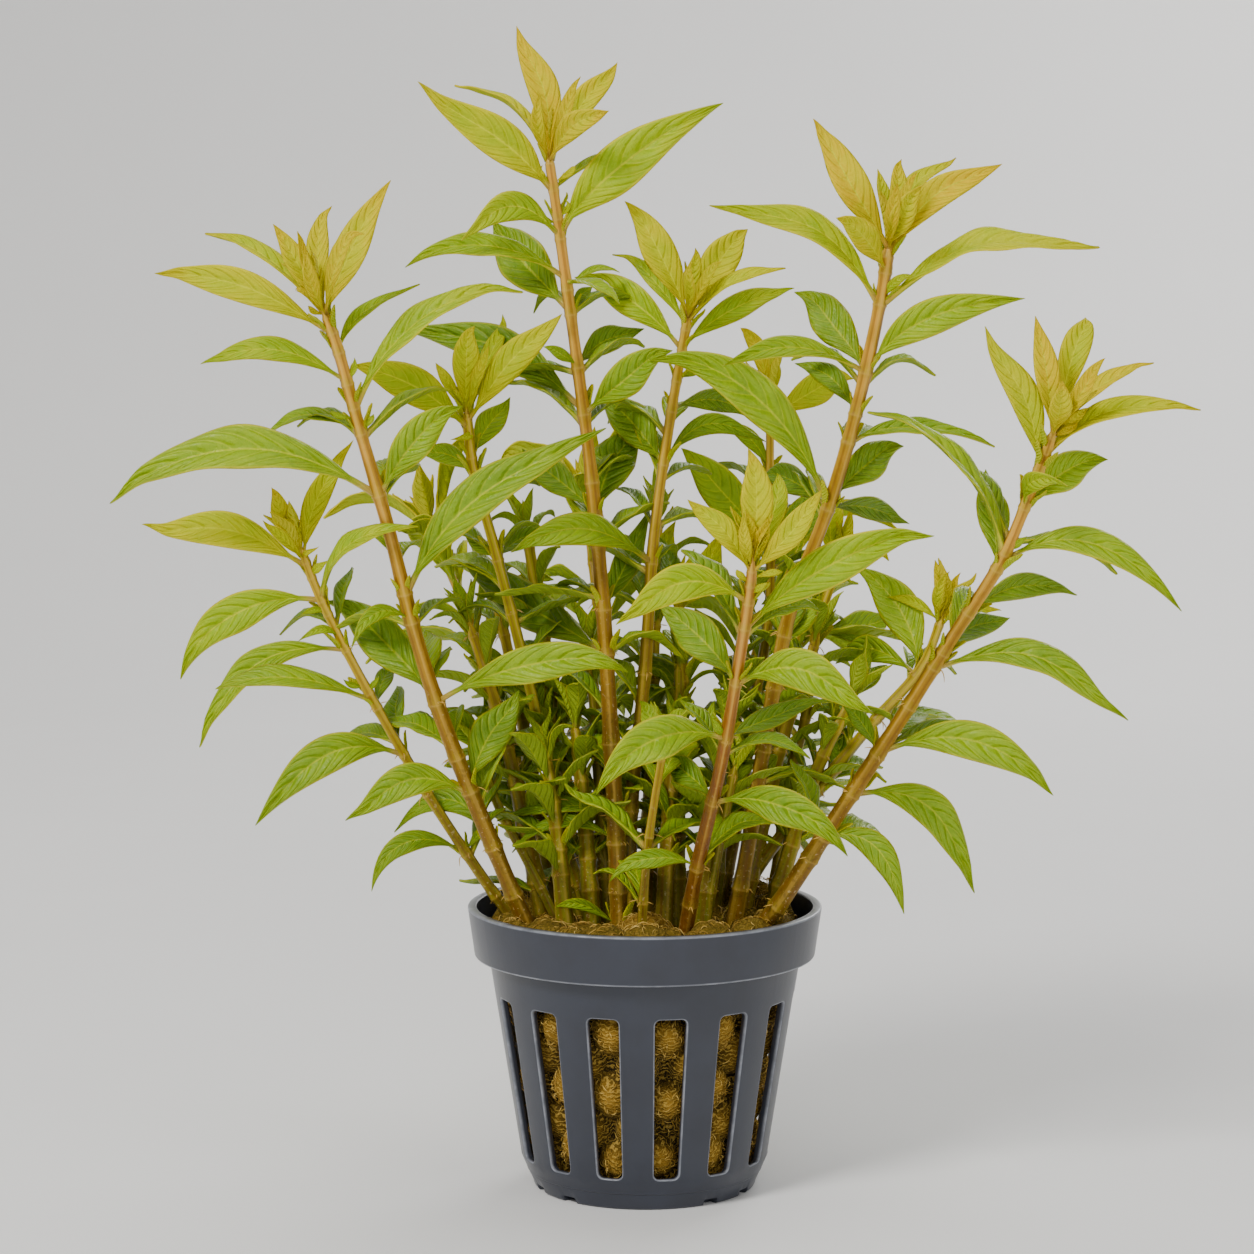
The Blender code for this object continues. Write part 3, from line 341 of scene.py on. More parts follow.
# The leaves that are one piece with their stem, given in the same way
SMALL_LEAVES = {
    "tall": (
        (548, 152, 541, 88, 514.5, 26, 31, -1, -1), (549, 152, 588, 100, 617, 62, 25, 1, 3),
        (549, 154, 578, 125, 609, 110, 25, -7, -14), (548, 154, 510, 107, 455, 81, 10, 3, 6),
        (549, 157, 552, 110, 556, 85, 18, 5, 9), (560, 190, 595, 162, 640, 148, 10, 5, 9),
        (557, 235, 510, 207, 464, 243, 30, -5, -9), (568, 280, 592, 284, 620, 301, 12, -8, -14),
        (583, 363, 605, 342, 645, 328, 28, 6, 9), (585, 513, 555, 478, 520, 450, 32, 6, 10),
        (604, 515, 612, 465, 640, 425, 45, 7, 11), (603, 655, 530, 605, 455, 560, 45, 14, 20),
        (614, 608, 625, 565, 652, 507, 28, 8, 12), (572, 285, 595, 270, 621, 271, 8, 2, 3),
        (576, 312, 582, 295, 593, 287, 12, 3, 4), (570, 368, 560, 353, 543, 347, 12, -3, -4),
        (549, 158, 566, 112, 580, 76, 14, -3, -5), (549, 158, 538, 122, 540, 92, 14, -4, -6),
        (548, 185, 541, 174, 543, 165, 7, -1, -1), (562, 182, 570, 172, 575, 165, 7, -1, -1),
        (552, 222, 544, 218, 540, 213, 6, -1, -1), (567, 215, 568, 208, 565, 200, 6, -1, -1),
        (612, 812, 565, 806, 495, 821, 16, 3, 5), (614, 842, 562, 822, 510, 853, 14, 2, 3),
        (617, 925, 580, 905, 555, 908, 12, -2, -3)),
    "left": (
        (322, 312, 298, 262, 271, 225, 22, -2, -3), (322, 312, 318, 250, 329, 204, 22, 3, 5),
        (324, 314, 350, 250, 393, 180, 32, 0, 0), (323, 312, 338, 258, 365, 232, 18, -6, -10),
        (322, 316, 262, 255, 204, 234, 16, 3, 6), (343, 350, 365, 312, 422, 285, 14, 4, 7),
        (340, 385, 270, 350, 202, 368, 24, -5, -8), (357, 430, 305, 416, 257, 442, 14, 4, 6),
        (410, 622, 375, 613, 354, 650, 16, -4, -7), (478, 782, 492, 735, 520, 690, 40, 4, 6),
        (322, 305, 305, 265, 298, 231, 10, -3, -5), (324, 316, 310, 280, 306, 250, 14, -7, -9),
        (307, 297, 302, 292, 297, 291, 6, -2, -2), (318, 316, 312, 310, 309, 306, 6, -1, -2),
        (345, 420, 337, 415, 330, 413, 6, -1, -2), (366, 428, 371, 420, 373, 414, 6, -1, -2),
        (352, 380, 354, 368, 355, 358, 6, -1, -2), (495, 845, 450, 800, 391, 831, 25, 6, 9)),
    "right": (
        (887, 250, 850, 180, 809, 121, 34, -2, -3), (889, 240, 883, 200, 879, 167, 14, 4, 7),
        (889, 240, 897, 190, 900, 159, 18, 0, 0), (889, 242, 920, 185, 958, 157, 18, 4, 7),
        (887, 255, 940, 195, 1003, 162, 30, -2, -3), (888, 250, 903, 212, 925, 187, 24, -6, -10),
        (884, 268, 862, 235, 837, 216, 28, -5, -8), (862, 372, 833, 322, 795, 290, 40, 5, 8),
        (850, 410, 830, 378, 795, 362, 24, 5, 8), (835, 512, 870, 508, 909, 527, 24, 8, 12),
        (822, 505, 790, 478, 760, 480, 30, 9, 14), (889, 236, 905, 200, 915, 173, 10, -4, -6),
        (889, 240, 894, 212, 896, 182, 14, -6, -9), (880, 300, 895, 282, 915, 276, 10, -1, -2)),
    "far_right": (
        (1056, 432, 1046, 370, 1034, 316, 24, -2, -3),
        (1056, 430, 1076, 350, 1089, 316, 28, 3, 5),
        (1056, 432, 1083, 388, 1106, 360, 16, -5, -8),
        (1056, 436, 1100, 388, 1153, 358, 15, 0, 0), (1040, 466, 1020, 395, 983, 327, 30, -2, -3),
        (1027, 508, 1035, 480, 1067, 488, 20, -7, -11), (990, 566, 992, 515, 985, 469, 32, 5, 8),
        (1000, 556, 965, 468, 868, 405, 18, -3, -5), (975, 618, 1020, 587, 1079, 592, 26, 8, 12),
        (945, 655, 975, 628, 1011, 616, 26, 9, 13), (874, 752, 862, 722, 838, 700, 18, 5, 8),
        (828, 835, 877, 850, 906, 916, 28, -2, -3), (1056, 432, 1060, 405, 1062, 380, 22, -4, -6),
        (1058, 428, 1075, 418, 1088, 407, 10, -1, -2),
        (1058, 437, 1068, 430, 1078, 422, 8, -1, -2),
        (1008, 553, 1018, 543, 1028, 537, 7, -1, -2)),
    "middle": (
        (688, 318, 660, 250, 623, 202, 34, -1, -2), (690, 315, 720, 262, 746, 226, 36, 1, 2),
        (689, 318, 694, 275, 696, 248, 16, -3, -5), (686, 326, 655, 280, 613, 252, 18, 4, 7),
        (687, 324, 733, 283, 786, 269, 14, -4, -7), (686, 345, 735, 307, 796, 292, 26, 3, 6),
        (678, 412, 715, 400, 757, 421, 24, 6, 10), (658, 463, 633, 425, 600, 385, 40, 5, 9),
        (664, 462, 710, 425, 766, 445, 22, 4, 6), (648, 600, 670, 570, 655, 530, 22, 7, 11),
        (690, 308, 706, 280, 722, 262, 12, -4, -6), (689, 310, 690, 285, 690, 262, 12, -6, -8),
        (683, 378, 693, 372, 702, 370, 8, 1, 2), (640, 760, 658, 790, 676, 842, 10, -2, -3)),
    "front": (
        (753, 568, 757, 500, 750, 448, 31, -1, -2), (753, 566, 775, 508, 778, 472, 22, 4, 6),
        (752, 574, 720, 528, 688, 499, 24, -1.8, -2.8),
        (752, 575, 792, 530, 824, 490, 25, -2.2, -2.8), (728, 681, 700, 637, 657, 606, 40, 6, 10),
        (730, 740, 770, 717, 835, 698, 22, 8, 12), (708, 802, 688, 772, 656, 760, 28, 7, 10),
        (693, 867, 650, 857, 609, 884, 20, -2, -3), (755, 562, 762, 538, 768, 518, 14, -1, -2),
        (752, 570, 745, 540, 744, 512, 12, -2, -3), (760, 578, 772, 573, 783, 572, 7, -1, -1),
        (745, 582, 740, 575, 737, 569, 7, -1, -1), (752, 597, 760, 588, 768, 582, 7, -1, -1),
        (727, 738, 718, 728, 710, 716, 8, -1, -1)),
    "far_left": (
        (301, 555, 283, 515, 272, 487, 20, -1, -2), (301, 552, 296, 528, 292, 506, 12, 3, 4),
        (302, 556, 318, 500, 351, 437, 24, 1, 2), (301, 560, 282, 538, 262, 522, 12, -4, -7),
        (323, 597, 350, 545, 420, 527, 18, -7, -10), (368, 703, 285, 678, 215, 690, 22, -5, -7),
        (380, 702, 383, 680, 398, 664, 18, 5, 8), (462, 853, 405, 842, 371, 893, 22, -3, -4),
        (301, 562, 307, 553, 320, 547, 6, -1, -2), (308, 577, 318, 568, 328, 561, 9, -1, -2),
        (340, 636, 320, 630, 297, 641, 9, -2, -3), (328, 612, 314, 610, 300, 615, 7, -1, -2),
        (362, 688, 352, 685, 344, 679, 7, -1, -2), (368, 692, 374, 684, 379, 676, 6, -1, -2),
        (468, 852, 480, 832, 495, 825, 10, -1, -2)),
    "inner_left": (
        (466, 412, 466, 360, 472, 325, 28, -2, -3), (466, 412, 492, 355, 505, 314, 18, 3, 5),
        (466, 414, 448, 382, 434, 363, 12, 0, 1), (469, 420, 515, 360, 561, 312, 32, -4, -6),
        (467, 425, 410, 385, 352, 364, 38, -5, -7), (475, 455, 490, 425, 512, 398, 28, 4, 6),
        (472, 475, 448, 455, 415, 453, 22, 3, 4), (500, 560, 524, 538, 560, 530, 22, 7, 10),
        (478, 432, 468, 436, 450, 440, 8, -1, -2), (495, 558, 480, 545, 462, 530, 16, 2, 4),
        (466, 410, 480, 375, 486, 345, 12, -3, -5)),
    "side": (
        (942, 618, 943, 590, 934, 560, 20, 0, 0), (941, 620, 970, 612, 1002, 612, 13, 3, 5),
        (940, 622, 915, 603, 886, 597, 12, 4, 6), (920, 668, 900, 610, 856, 564, 42, 5, 8),
        (915, 676, 870, 650, 833, 663, 28, 6, 9), (820, 788, 838, 752, 820, 712, 24, 4, 6),
        (948, 615, 957, 600, 962, 585, 12, -1, -2), (944, 614, 938, 592, 950, 572, 12, -2, -4)),
    "back": (
        (770, 405, 757, 350, 741, 326, 18, 0, 0), (770, 405, 772, 375, 774, 350, 18, 4, 6),
        (772, 420, 815, 388, 855, 377, 34, 2, 4), (769, 470, 750, 438, 715, 425, 18, 2, 3),
        (768, 545, 722, 490, 680, 450, 42, -4, -6), (769, 560, 800, 520, 822, 480, 36, 3, 5)),
    "olive": (
        (480, 760, 462, 725, 430, 712, 30, 3, 5), (480, 760, 494, 722, 480, 690, 26, 6, 9),
        (484, 770, 520, 742, 552, 750, 26, 6, 9)),
    "green": (
        (549, 728, 530, 690, 540, 650, 30, 2, 4), (549, 728, 572, 690, 568, 655, 28, 5, 8),
        (566, 775, 540, 762, 515, 780, 20, 4, 6)),
    "thin_right": (
        (839, 568, 830, 520, 842, 480, 26, 3, 5), (838, 572, 866, 548, 890, 560, 24, 4, 6),
        (817, 634, 860, 628, 893, 610, 34, 5, 8), (816, 636, 784, 604, 760, 606, 26, 4, 7),
        (806, 716, 836, 706, 852, 740, 22, 4, 6)),
    "thin_middle": (
        (678, 608, 664, 566, 676, 520, 30, 3, 5), (678, 608, 704, 574, 722, 530, 30, 3, 5),
        (684, 680, 712, 650, 722, 690, 28, 3, 5), (684, 700, 664, 668, 640, 668, 26, 4, 6)),
    "short_front": (
        (663, 752, 652, 722, 640, 700, 20, 2, 3), (663, 752, 676, 720, 690, 712, 16, 3, 5)),
    "short_right": (
        (735, 770, 712, 735, 716, 700, 22, 4, 6), (735, 770, 757, 742, 778, 748, 22, 4, 6)),
}

# The shoots behind, which the reference view hardly shows: the foot and the top in mm, and
# the number of leaf pairs
BACK_SHOOTS = {
    "rear_left_shoot": ((-11.0, 11.0), (-32.0, 30.0, 92.0), 4),
    "rear_shoot": ((-3.0, 15.0), (-9.0, 44.0, 96.0), 4),
    "rear_right_shoot": ((6.5, 15.5), (23.0, 40.0, 88.0), 4),
}
SHOOT_RADIUS = (0.9 * MM, 0.6 * MM)
SHOOT_LEAF_LONG = 19.0 * MM
SHOOT_LEAF_WIDE = 5.0 * MM
SHOOT_LEAF_DROOP = 5.0 * MM
SHOOT_FIRST_PAIR = 0.3
SHOOT_LAST_PAIR = 0.97
SHOOT_TURN = math.radians(90)
SHOOT_FROM = 0.6
SHOOT_FROM_BETWEEN = 2.2
SHOOT_BETWEEN = 0.09
SHOOT_CROWN = 3
SHOOT_HUE = 0.25
SHOOT_BOW = 4.0 * MM

# The big lumps that stand above the wool's top, the one in the middle first: centre and
# size in mm
WOOL_LUMPS = (
    ((-0.1, -7.4, 36.0), (4.5, 4.2, 4.0)),
    ((10.4, -7.6, 35.9), (1.9, 2.0, 2.8)),
    ((0.6, 13.0, 35.6), (4.2, 2.8, 3.0)),
    ((-14.8, 9.0, 35.6), (2.6, 2.4, 2.2)),
    ((17.0, -2.0, 35.8), (2.0, 2.6, 2.0)),
)

# Thin sprigs inside the bunch: the foot and the top in mm
SPRIGS = (
    ((-14.0, 1.0), (-25.0, 5.0, 80.0)),
    ((-9.5, 6.0), (-17.0, 15.0, 92.0)),
    ((-5.0, 2.5), (-8.0, 11.0, 76.0)),
    ((0.5, 9.0), (2.0, 20.0, 94.0)),
    ((4.5, 3.0), (5.0, 9.0, 74.0)),
    ((9.5, 8.0), (16.0, 18.0, 88.0)),
    ((13.5, 3.0), (25.0, 9.0, 78.0)),
    ((8.0, -3.5), (12.0, 1.0, 66.0)),
    ((-11.0, -6.0), (-14.0, -1.0, 62.0)),
    ((-7.4, -2.6), (-10.0, 3.0, 66.0)),
    ((2.6, -1.6), (4.4, 3.0, 64.0)),
    ((-13.0, 7.5), (-22.0, 18.0, 84.0)),
    ((14.0, 8.5), (24.0, 17.0, 82.0)),
    ((17.5, 1.5), (30.0, 4.0, 70.0)),
)


def seen(columns, rows, depths):
    """The points at pixels of the reference view: each ray is followed until Y is its depth."""
    columns = np.atleast_1d(np.asarray(columns, float))
    rows = np.atleast_1d(np.asarray(rows, float))
    ray = (VIEW_AHEAD + np.outer((columns - VIEW_CENTRE) / VIEW_FOCAL, VIEW_RIGHT)
           + np.outer((VIEW_CENTRE - rows) / VIEW_FOCAL, VIEW_UP))
    reach = (np.asarray(depths, float) - VIEW_FROM[1]) / ray[:, 1]
    return VIEW_FROM + ray * reach[:, None]


def unit(vectors):
    """Vectors scaled to length one."""
    return vectors / np.maximum(np.linalg.norm(vectors, axis=-1, keepdims=True), 1e-12)


def smoothstep(low, high, value):
    """0 below low, 1 above high, and 3t^2 - 2t^3 between them."""
    t = np.clip((value - low) / (high - low), 0.0, 1.0)
    return t * t * (3 - 2 * t)


def smooth_curve(points, step):
    """Points at even steps along a Catmull-Rom curve through the given points."""
    points = np.asarray(points, float)
    control = np.vstack((2 * points[0] - points[1], points, 2 * points[-1] - points[-2]))
    runs = np.concatenate(([0.0], np.cumsum(np.linalg.norm(np.diff(points, axis=0), axis=1))))
    count = max(int(runs[-1] / step), 8)
    where = np.interp(np.linspace(0, runs[-1], count), runs, np.arange(len(points)))
    span = np.minimum(where.astype(int), len(points) - 2)
    t = (where - span)[:, None]
    a, b, c, d = (control[span + i] for i in range(4))
    return 0.5 * (2 * b + (c - a) * t + (2 * a - 5 * b + 4 * c - d) * t ** 2
                  + (3 * b - a - 3 * c + d) * t ** 3)


class StemLine:
    """A stem's centre line from its foot up, with its radius along it."""

    def __init__(self, points, radius_foot, radius_top):
        self.points = smooth_curve(points, STEM_STEP)
        steps = np.linalg.norm(np.diff(self.points, axis=0), axis=1)
        self.along = np.concatenate(([0.0], np.cumsum(steps)))
        self.length = self.along[-1]
        self.radii = radius_foot + (radius_top - radius_foot) * self.along / self.length
        self.tangents = unit(np.gradient(self.points, axis=0))
        self.elder = 0.0

    def nearest(self, target):
        """The index of the point of the line nearest to a target."""
        return int(np.argmin(np.linalg.norm(self.points - target, axis=1)))

    def age_at(self, index):
        """How far below the stem's top a point is, in mm."""
        return (self.length - self.along[index]) / MM


def foot_point(place, above, radius):
    """A foot on the wool, raised until the low edge of the leaning stem's cut is clear."""
    lean = unit(above - place)
    rise = radius * TILT_MARGIN * math.hypot(lean[0], lean[1])
    return place + np.array((0.0, 0.0, rise))


def seen_stem_line(row):
    """The line of one row of STEMS."""
    column, (depth_foot, depth_top), (radius_foot, radius_top), marks = row
    marks = np.array(marks[::-1], float)
    share = (FOOT_ROW - marks[:, 1]) / (FOOT_ROW - marks[-1, 1])
    depths = (depth_foot + (depth_top - depth_foot) * share) * MM
    points = seen(marks[:, 0], marks[:, 1], depths)
    place = np.array((0.0, depth_foot * MM, WOOL_TOP + GAP))
    away = (place - VIEW_FROM) @ VIEW_AHEAD
    place[0] = VIEW_FROM[0] + away * (column - VIEW_CENTRE) / VIEW_FOCAL
    foot = foot_point(place, points[0], radius_foot * MM)
    return StemLine(np.vstack((foot, points)), radius_foot * MM, radius_top * MM)


def place_object(name, data, material=None):
    """A new object of the scene, with its material."""
    thing = bpy.data.objects.new(name, data)
    bpy.context.scene.collection.objects.link(thing)
    if material:
        data.materials.append(material)
    return thing


def name_values(mesh, values):
    """Gives each point of a mesh its named values."""
    for name, value in values.items():
        attribute = mesh.attributes.new(name, "FLOAT", "POINT")
        attribute.data.foreach_set("value", value.astype(np.float32))


def grid_quads(rows, columns, wrap):
    """The quads of a grid of points, closed across its columns with wrap."""
    row = np.arange(rows - 1)[:, None] * columns
    column = np.arange(columns if wrap else columns - 1)[None, :]
    after = (column + 1) % columns
    low, high = row, row + columns
    return np.stack((low + column, low + after, high + after, high + column), -1).reshape(-1, 4)


class Shell:
    """Gathers the points, faces, map and named values of many closed tubes for one mesh."""

    def __init__(self):
        self.points, self.quads, self.fans, self.maps = [], [], [], []
        self.values = {}
        self.count = 0

    def add(self, rings, ends, ring_map=None, **values):
        """Adds a tube of points by ring and side, closed by fans from its two end points.

        The map is given for the rings, or else it's the points' X and Y. A value is one
        number, or one for each point, or one for each ring and side and 0 at the ends.
        """
        count, sides = rings.shape[:2]
        points = np.vstack((rings.reshape(-1, 3), *ends))
        side = np.arange(sides)
        after = (side + 1) % sides
        last = (count - 1) * sides
        low = np.stack((np.full(sides, len(points) - 2), after, side), -1)
        high = np.stack((np.full(sides, len(points) - 1), last + side, last + after), -1)
        self.points.append(points)
        self.quads.append(grid_quads(count, sides, True) + self.count)
        self.fans.append(np.vstack((low, high)) + self.count)
        self.maps.append(points[:, :2] if ring_map is None
                         else np.vstack((ring_map.reshape(-1, 2), (0.5, 0.0), (0.5, 1.0))))
        for name, value in values.items():
            value = np.asarray(value, float)
            if value.ndim == 2:
                value = np.append(np.broadcast_to(value, (count, sides)), (0.0, 0.0))
            self.values.setdefault(name, []).append(np.broadcast_to(value, (len(points),)))
        self.count += len(points)

    def build(self, name, material):
        """The gathered tubes as one object, smooth, with its map and values."""
        points = np.vstack(self.points)
        quads = np.vstack(self.quads)
        fans = np.vstack(self.fans)
        mesh = bpy.data.meshes.new(name)
        mesh.vertices.add(len(points))
        mesh.vertices.foreach_set("co", points.astype(np.float32).ravel())
        corners = np.concatenate((quads.ravel(), fans.ravel())).astype(np.int32)
        starts = np.concatenate((np.arange(len(quads)) * 4,
                                 len(quads) * 4 + np.arange(len(fans)) * 3))
        mesh.loops.add(len(corners))
        mesh.loops.foreach_set("vertex_index", corners)
        mesh.polygons.add(len(starts))
        mesh.polygons.foreach_set("loop_start", starts.astype(np.int32))
        mesh.update(calc_edges=True)
        layer = mesh.uv_layers.new(name="UVMap")
        layer.data.foreach_set("uv", np.vstack(self.maps)[corners].astype(np.float32).ravel())
        name_values(mesh, {key: np.concatenate(parts) for key, parts in self.values.items()})
        mesh.validate()
        mesh.shade_smooth()
        return place_object(name, mesh, material)


def leaf_width(share, taper):
    """The blade's width along the leaf, 0 to 1: a narrow stalk, then a lens that tapers."""
    lens = np.clip((share - LEAF_STALK) / (1 - LEAF_STALK), 0.0, 1.0) ** LEAF_SPREAD
    shape = np.sin(np.pi * lens) ** (taper - 0.2 * smoothstep(0.7, 1.0, share))
    return np.maximum(shape, LEAF_NECK * (1 - share))


def facing_of(start, tip, seen_width, width):
    """The side that a blade turns to the front: its width as seen sets how far it leans up."""
    along = unit(tip - start)
    front = -VIEW_AHEAD
    front = unit(front - along * (front @ along))
    upward = np.cross(along, front)
    if upward[2] < 0:
        upward = -upward
    lean = math.acos(min(seen_width / width, 1.0))
    return front * math.cos(lean) + upward * math.sin(lean)


def add_leaf(shell, start, middle, tip, width, facing, detail, draw,
             taper=LEAF_TAPER, fold=LEAF_FOLD, **values):
    """Adds a leaf to a shell as one closed surface.

    The midrib is the parabola through start, middle and tip, with a slight S-bend and a hook
    at its tip. At v along it and x across, from edge to edge, the blade's height is a fold,
    growing with |x|, plus rolled margins, plus a wave of the edges, plus quilting: the vein
    phase's |sin|, which rises with v and falls along the arched side veins. The section is a
    loop over the top and back underneath, where the midrib stands out as a rib.
    """
    along_count, across_count = detail
    t = np.linspace(0.0, 1.0, along_count)
    v = 0.988 * (0.75 * t + 0.25 * (1 - np.cos(np.pi * t)) / 2)
    bend = 2 * middle - (start + tip) / 2
    w = v[:, None]
    line = start * (1 - w) ** 2 + bend * 2 * w * (1 - w) + tip * w ** 2
    along = unit((bend - start) * (1 - w) + (tip - bend) * w)
    normal = unit(facing - along * (along @ facing)[:, None])
    side = np.cross(along, normal)
    long = np.linalg.norm(tip - start)
    curl = np.sin(2 * np.pi * w ** 1.6) * long
    line = line + side * curl * draw.uniform(-LEAF_CURL[0], LEAF_CURL[0])
    line = line + normal * curl * draw.uniform(0.0, LEAF_CURL[1])
    hook = smoothstep(0.84, 1.0, w) * long
    line = line + side * hook * draw.uniform(-0.03, 0.03)
    line = line - normal * hook * draw.uniform(-0.01, 0.04)
    tip = line[-1] + along[-1] * long * 0.008
    twist = draw.uniform(-LEAF_TWIST, LEAF_TWIST) * (v - 0.35)
    normal, side = (normal * np.cos(twist)[:, None] + side * np.sin(twist)[:, None],
                    side * np.cos(twist)[:, None] - normal * np.sin(twist)[:, None])

    even = np.linspace(-1.0, 1.0, across_count)
    top = np.sin(even * np.pi / 2) * 0.45 + even * 0.55
    x = np.concatenate((top, top[-2:0:-1]))[None, :]
    over = np.concatenate((np.ones(across_count), -np.ones(across_count - 2)))
    over[0] = over[across_count - 1] = 0.0
    over = over[None, :]
    size = np.abs(x)
    half = (width / 2 * leaf_width(v, taper))[:, None]
    broad = smoothstep(0.06, 0.24, w) * (1 - smoothstep(0.9, 1.0, w))

    young = 1 - smoothstep(0.05, 0.40, values["age"])
    height = half * ((fold + 0.16 * young) * size - 0.12 * size ** 3)
    left, right = draw.uniform(0, 6.28, 2)
    waves = draw.uniform(2.0, 3.4)
    phase = np.where(x < 0, left, right)
    wavy = LEAF_WAVE * min(width / (6 * MM), 1.0)
    height = height + half * wavy * size ** 2 * broad * np.sin(2 * np.pi * waves * w + phase)
    veins = VEIN_PAIRS * (w - VEIN_RISE[0] * size - VEIN_RISE[1] * size ** 2)
    veins = veins + np.where(x < 0, VEIN_SHIFT, 0.0)
    quilt = np.abs(np.sin(np.pi * veins)) ** 0.8
    inner = smoothstep(0.03, 0.25, size) * (1 - smoothstep(0.72, 0.98, size))
    quilting = (0.062 - 0.036 * young) * (along_count > 3 * VEIN_PAIRS)
    height = height + width * quilting * quilt * inner * broad
    height = height + width * 0.012 * broad * np.sin(5.3 * np.pi * w + 4.2 * x + left)

    groove = np.exp(-(x * half / (0.05 * width)) ** 2)
    rib = (MIDRIB[0] * (1 - w) ** 0.8 + MIDRIB[1]) * min(width / (5 * MM), 1.1)
    under_rib = rib * np.exp(-(x * half / (1.1 * rib)) ** 2)
    thick = LEAF_THICK * np.sqrt(np.maximum(1 - size ** 4, 0.0))
    thick = thick * min(width / (4 * MM), 1.0)
    height = height - 0.022 * width * groove * broad
    height = height + np.where(over > 0, thick / 2 + 0.5 * under_rib * (1 - broad),
                               -thick / 2 - under_rib) * np.abs(over)

    rings = (line[:, None, :] + side[:, None, :] * (x * half)[:, :, None]
             + normal[:, None, :] * height[:, :, None])
    leaf_map = np.stack(np.broadcast_arrays((x + 1) / 2, w), -1)
    shell.add(rings, (start, tip), leaf_map, beneath=over < 0, **values)


def age_and_shade_of(line, index, shade_depth):
    """How old a leaf looks, with painted shade: 0 in the crown, soon 0.6 below it, and more, as
    painted shade, where it lies further in the bunch.
    """
    below = 1 - math.exp(-line.age_at(index) / AGE_REACH)
    # Painted shade: a leaf whose middle lies deeper in the bunch is made up to 0.3 older, so
    # darker.
    age = 0.62 * below + 0.3 * np.clip(shade_depth / 10.0, 0, 1) + line.elder * (1 - below)
    return float(np.clip(age, 0, 1))


def add_seen_leaf(shell, line, row, detail, draw, own):
    """Adds the leaf of one table row. A leaf that is its own piece starts in the stem's side."""
    foot, middle_mark, tip_mark = row[0:2], row[2:4], row[4:6]
    seen_px, middle_step, tip_step = row[6:]
    depth = line.points[-1, 1]
    for _ in range(3):
        index = min(line.nearest(seen(*foot, depth)[0]), len(line.points) - 3)
        depth = line.points[index, 1]
    start = line.points[index]
    middle = seen(*middle_mark, depth + middle_step * MM)[0]
    tip = seen(*tip_mark, depth + tip_step * MM)[0]
    if own:
        out = middle - start
        out = out - line.tangents[index] * (out @ line.tangents[index])
        start = start + unit(out) * line.radii[index] * 0.6
    seen_width = seen_px * PIXEL
    width = max(seen_width, LEAF_SLENDER * np.linalg.norm(tip - start))
    facing = facing_of(start, tip, seen_width, width)
    add_leaf(shell, start, middle, tip, width, facing, detail, draw,
             age=age_and_shade_of(line, index, middle_step), tint=draw.uniform(0, 1))
    return index


def parted(joints):
    """The joints from the foot up, without those that lie right over another."""
    kept = []
    for index in sorted(joints):
        if not kept or index - kept[-1] >= JOINT_PART:
            kept.append(index)
    return kept


def bare_joints(line, joints, draw):
    """The joints that have lost their leaves, spread over the stretches without any."""
    where = 0.8 * BARE_STEP[0]
    bare = []
    taken = line.along[np.array(joints)]
    while where < line.length - BARE_STEP[1]:
        if np.abs(taken - where).min() > BARE_CLEAR:
            bare.append(int(np.searchsorted(line.along, where)))
        where += draw.uniform(*BARE_STEP)
    return bare


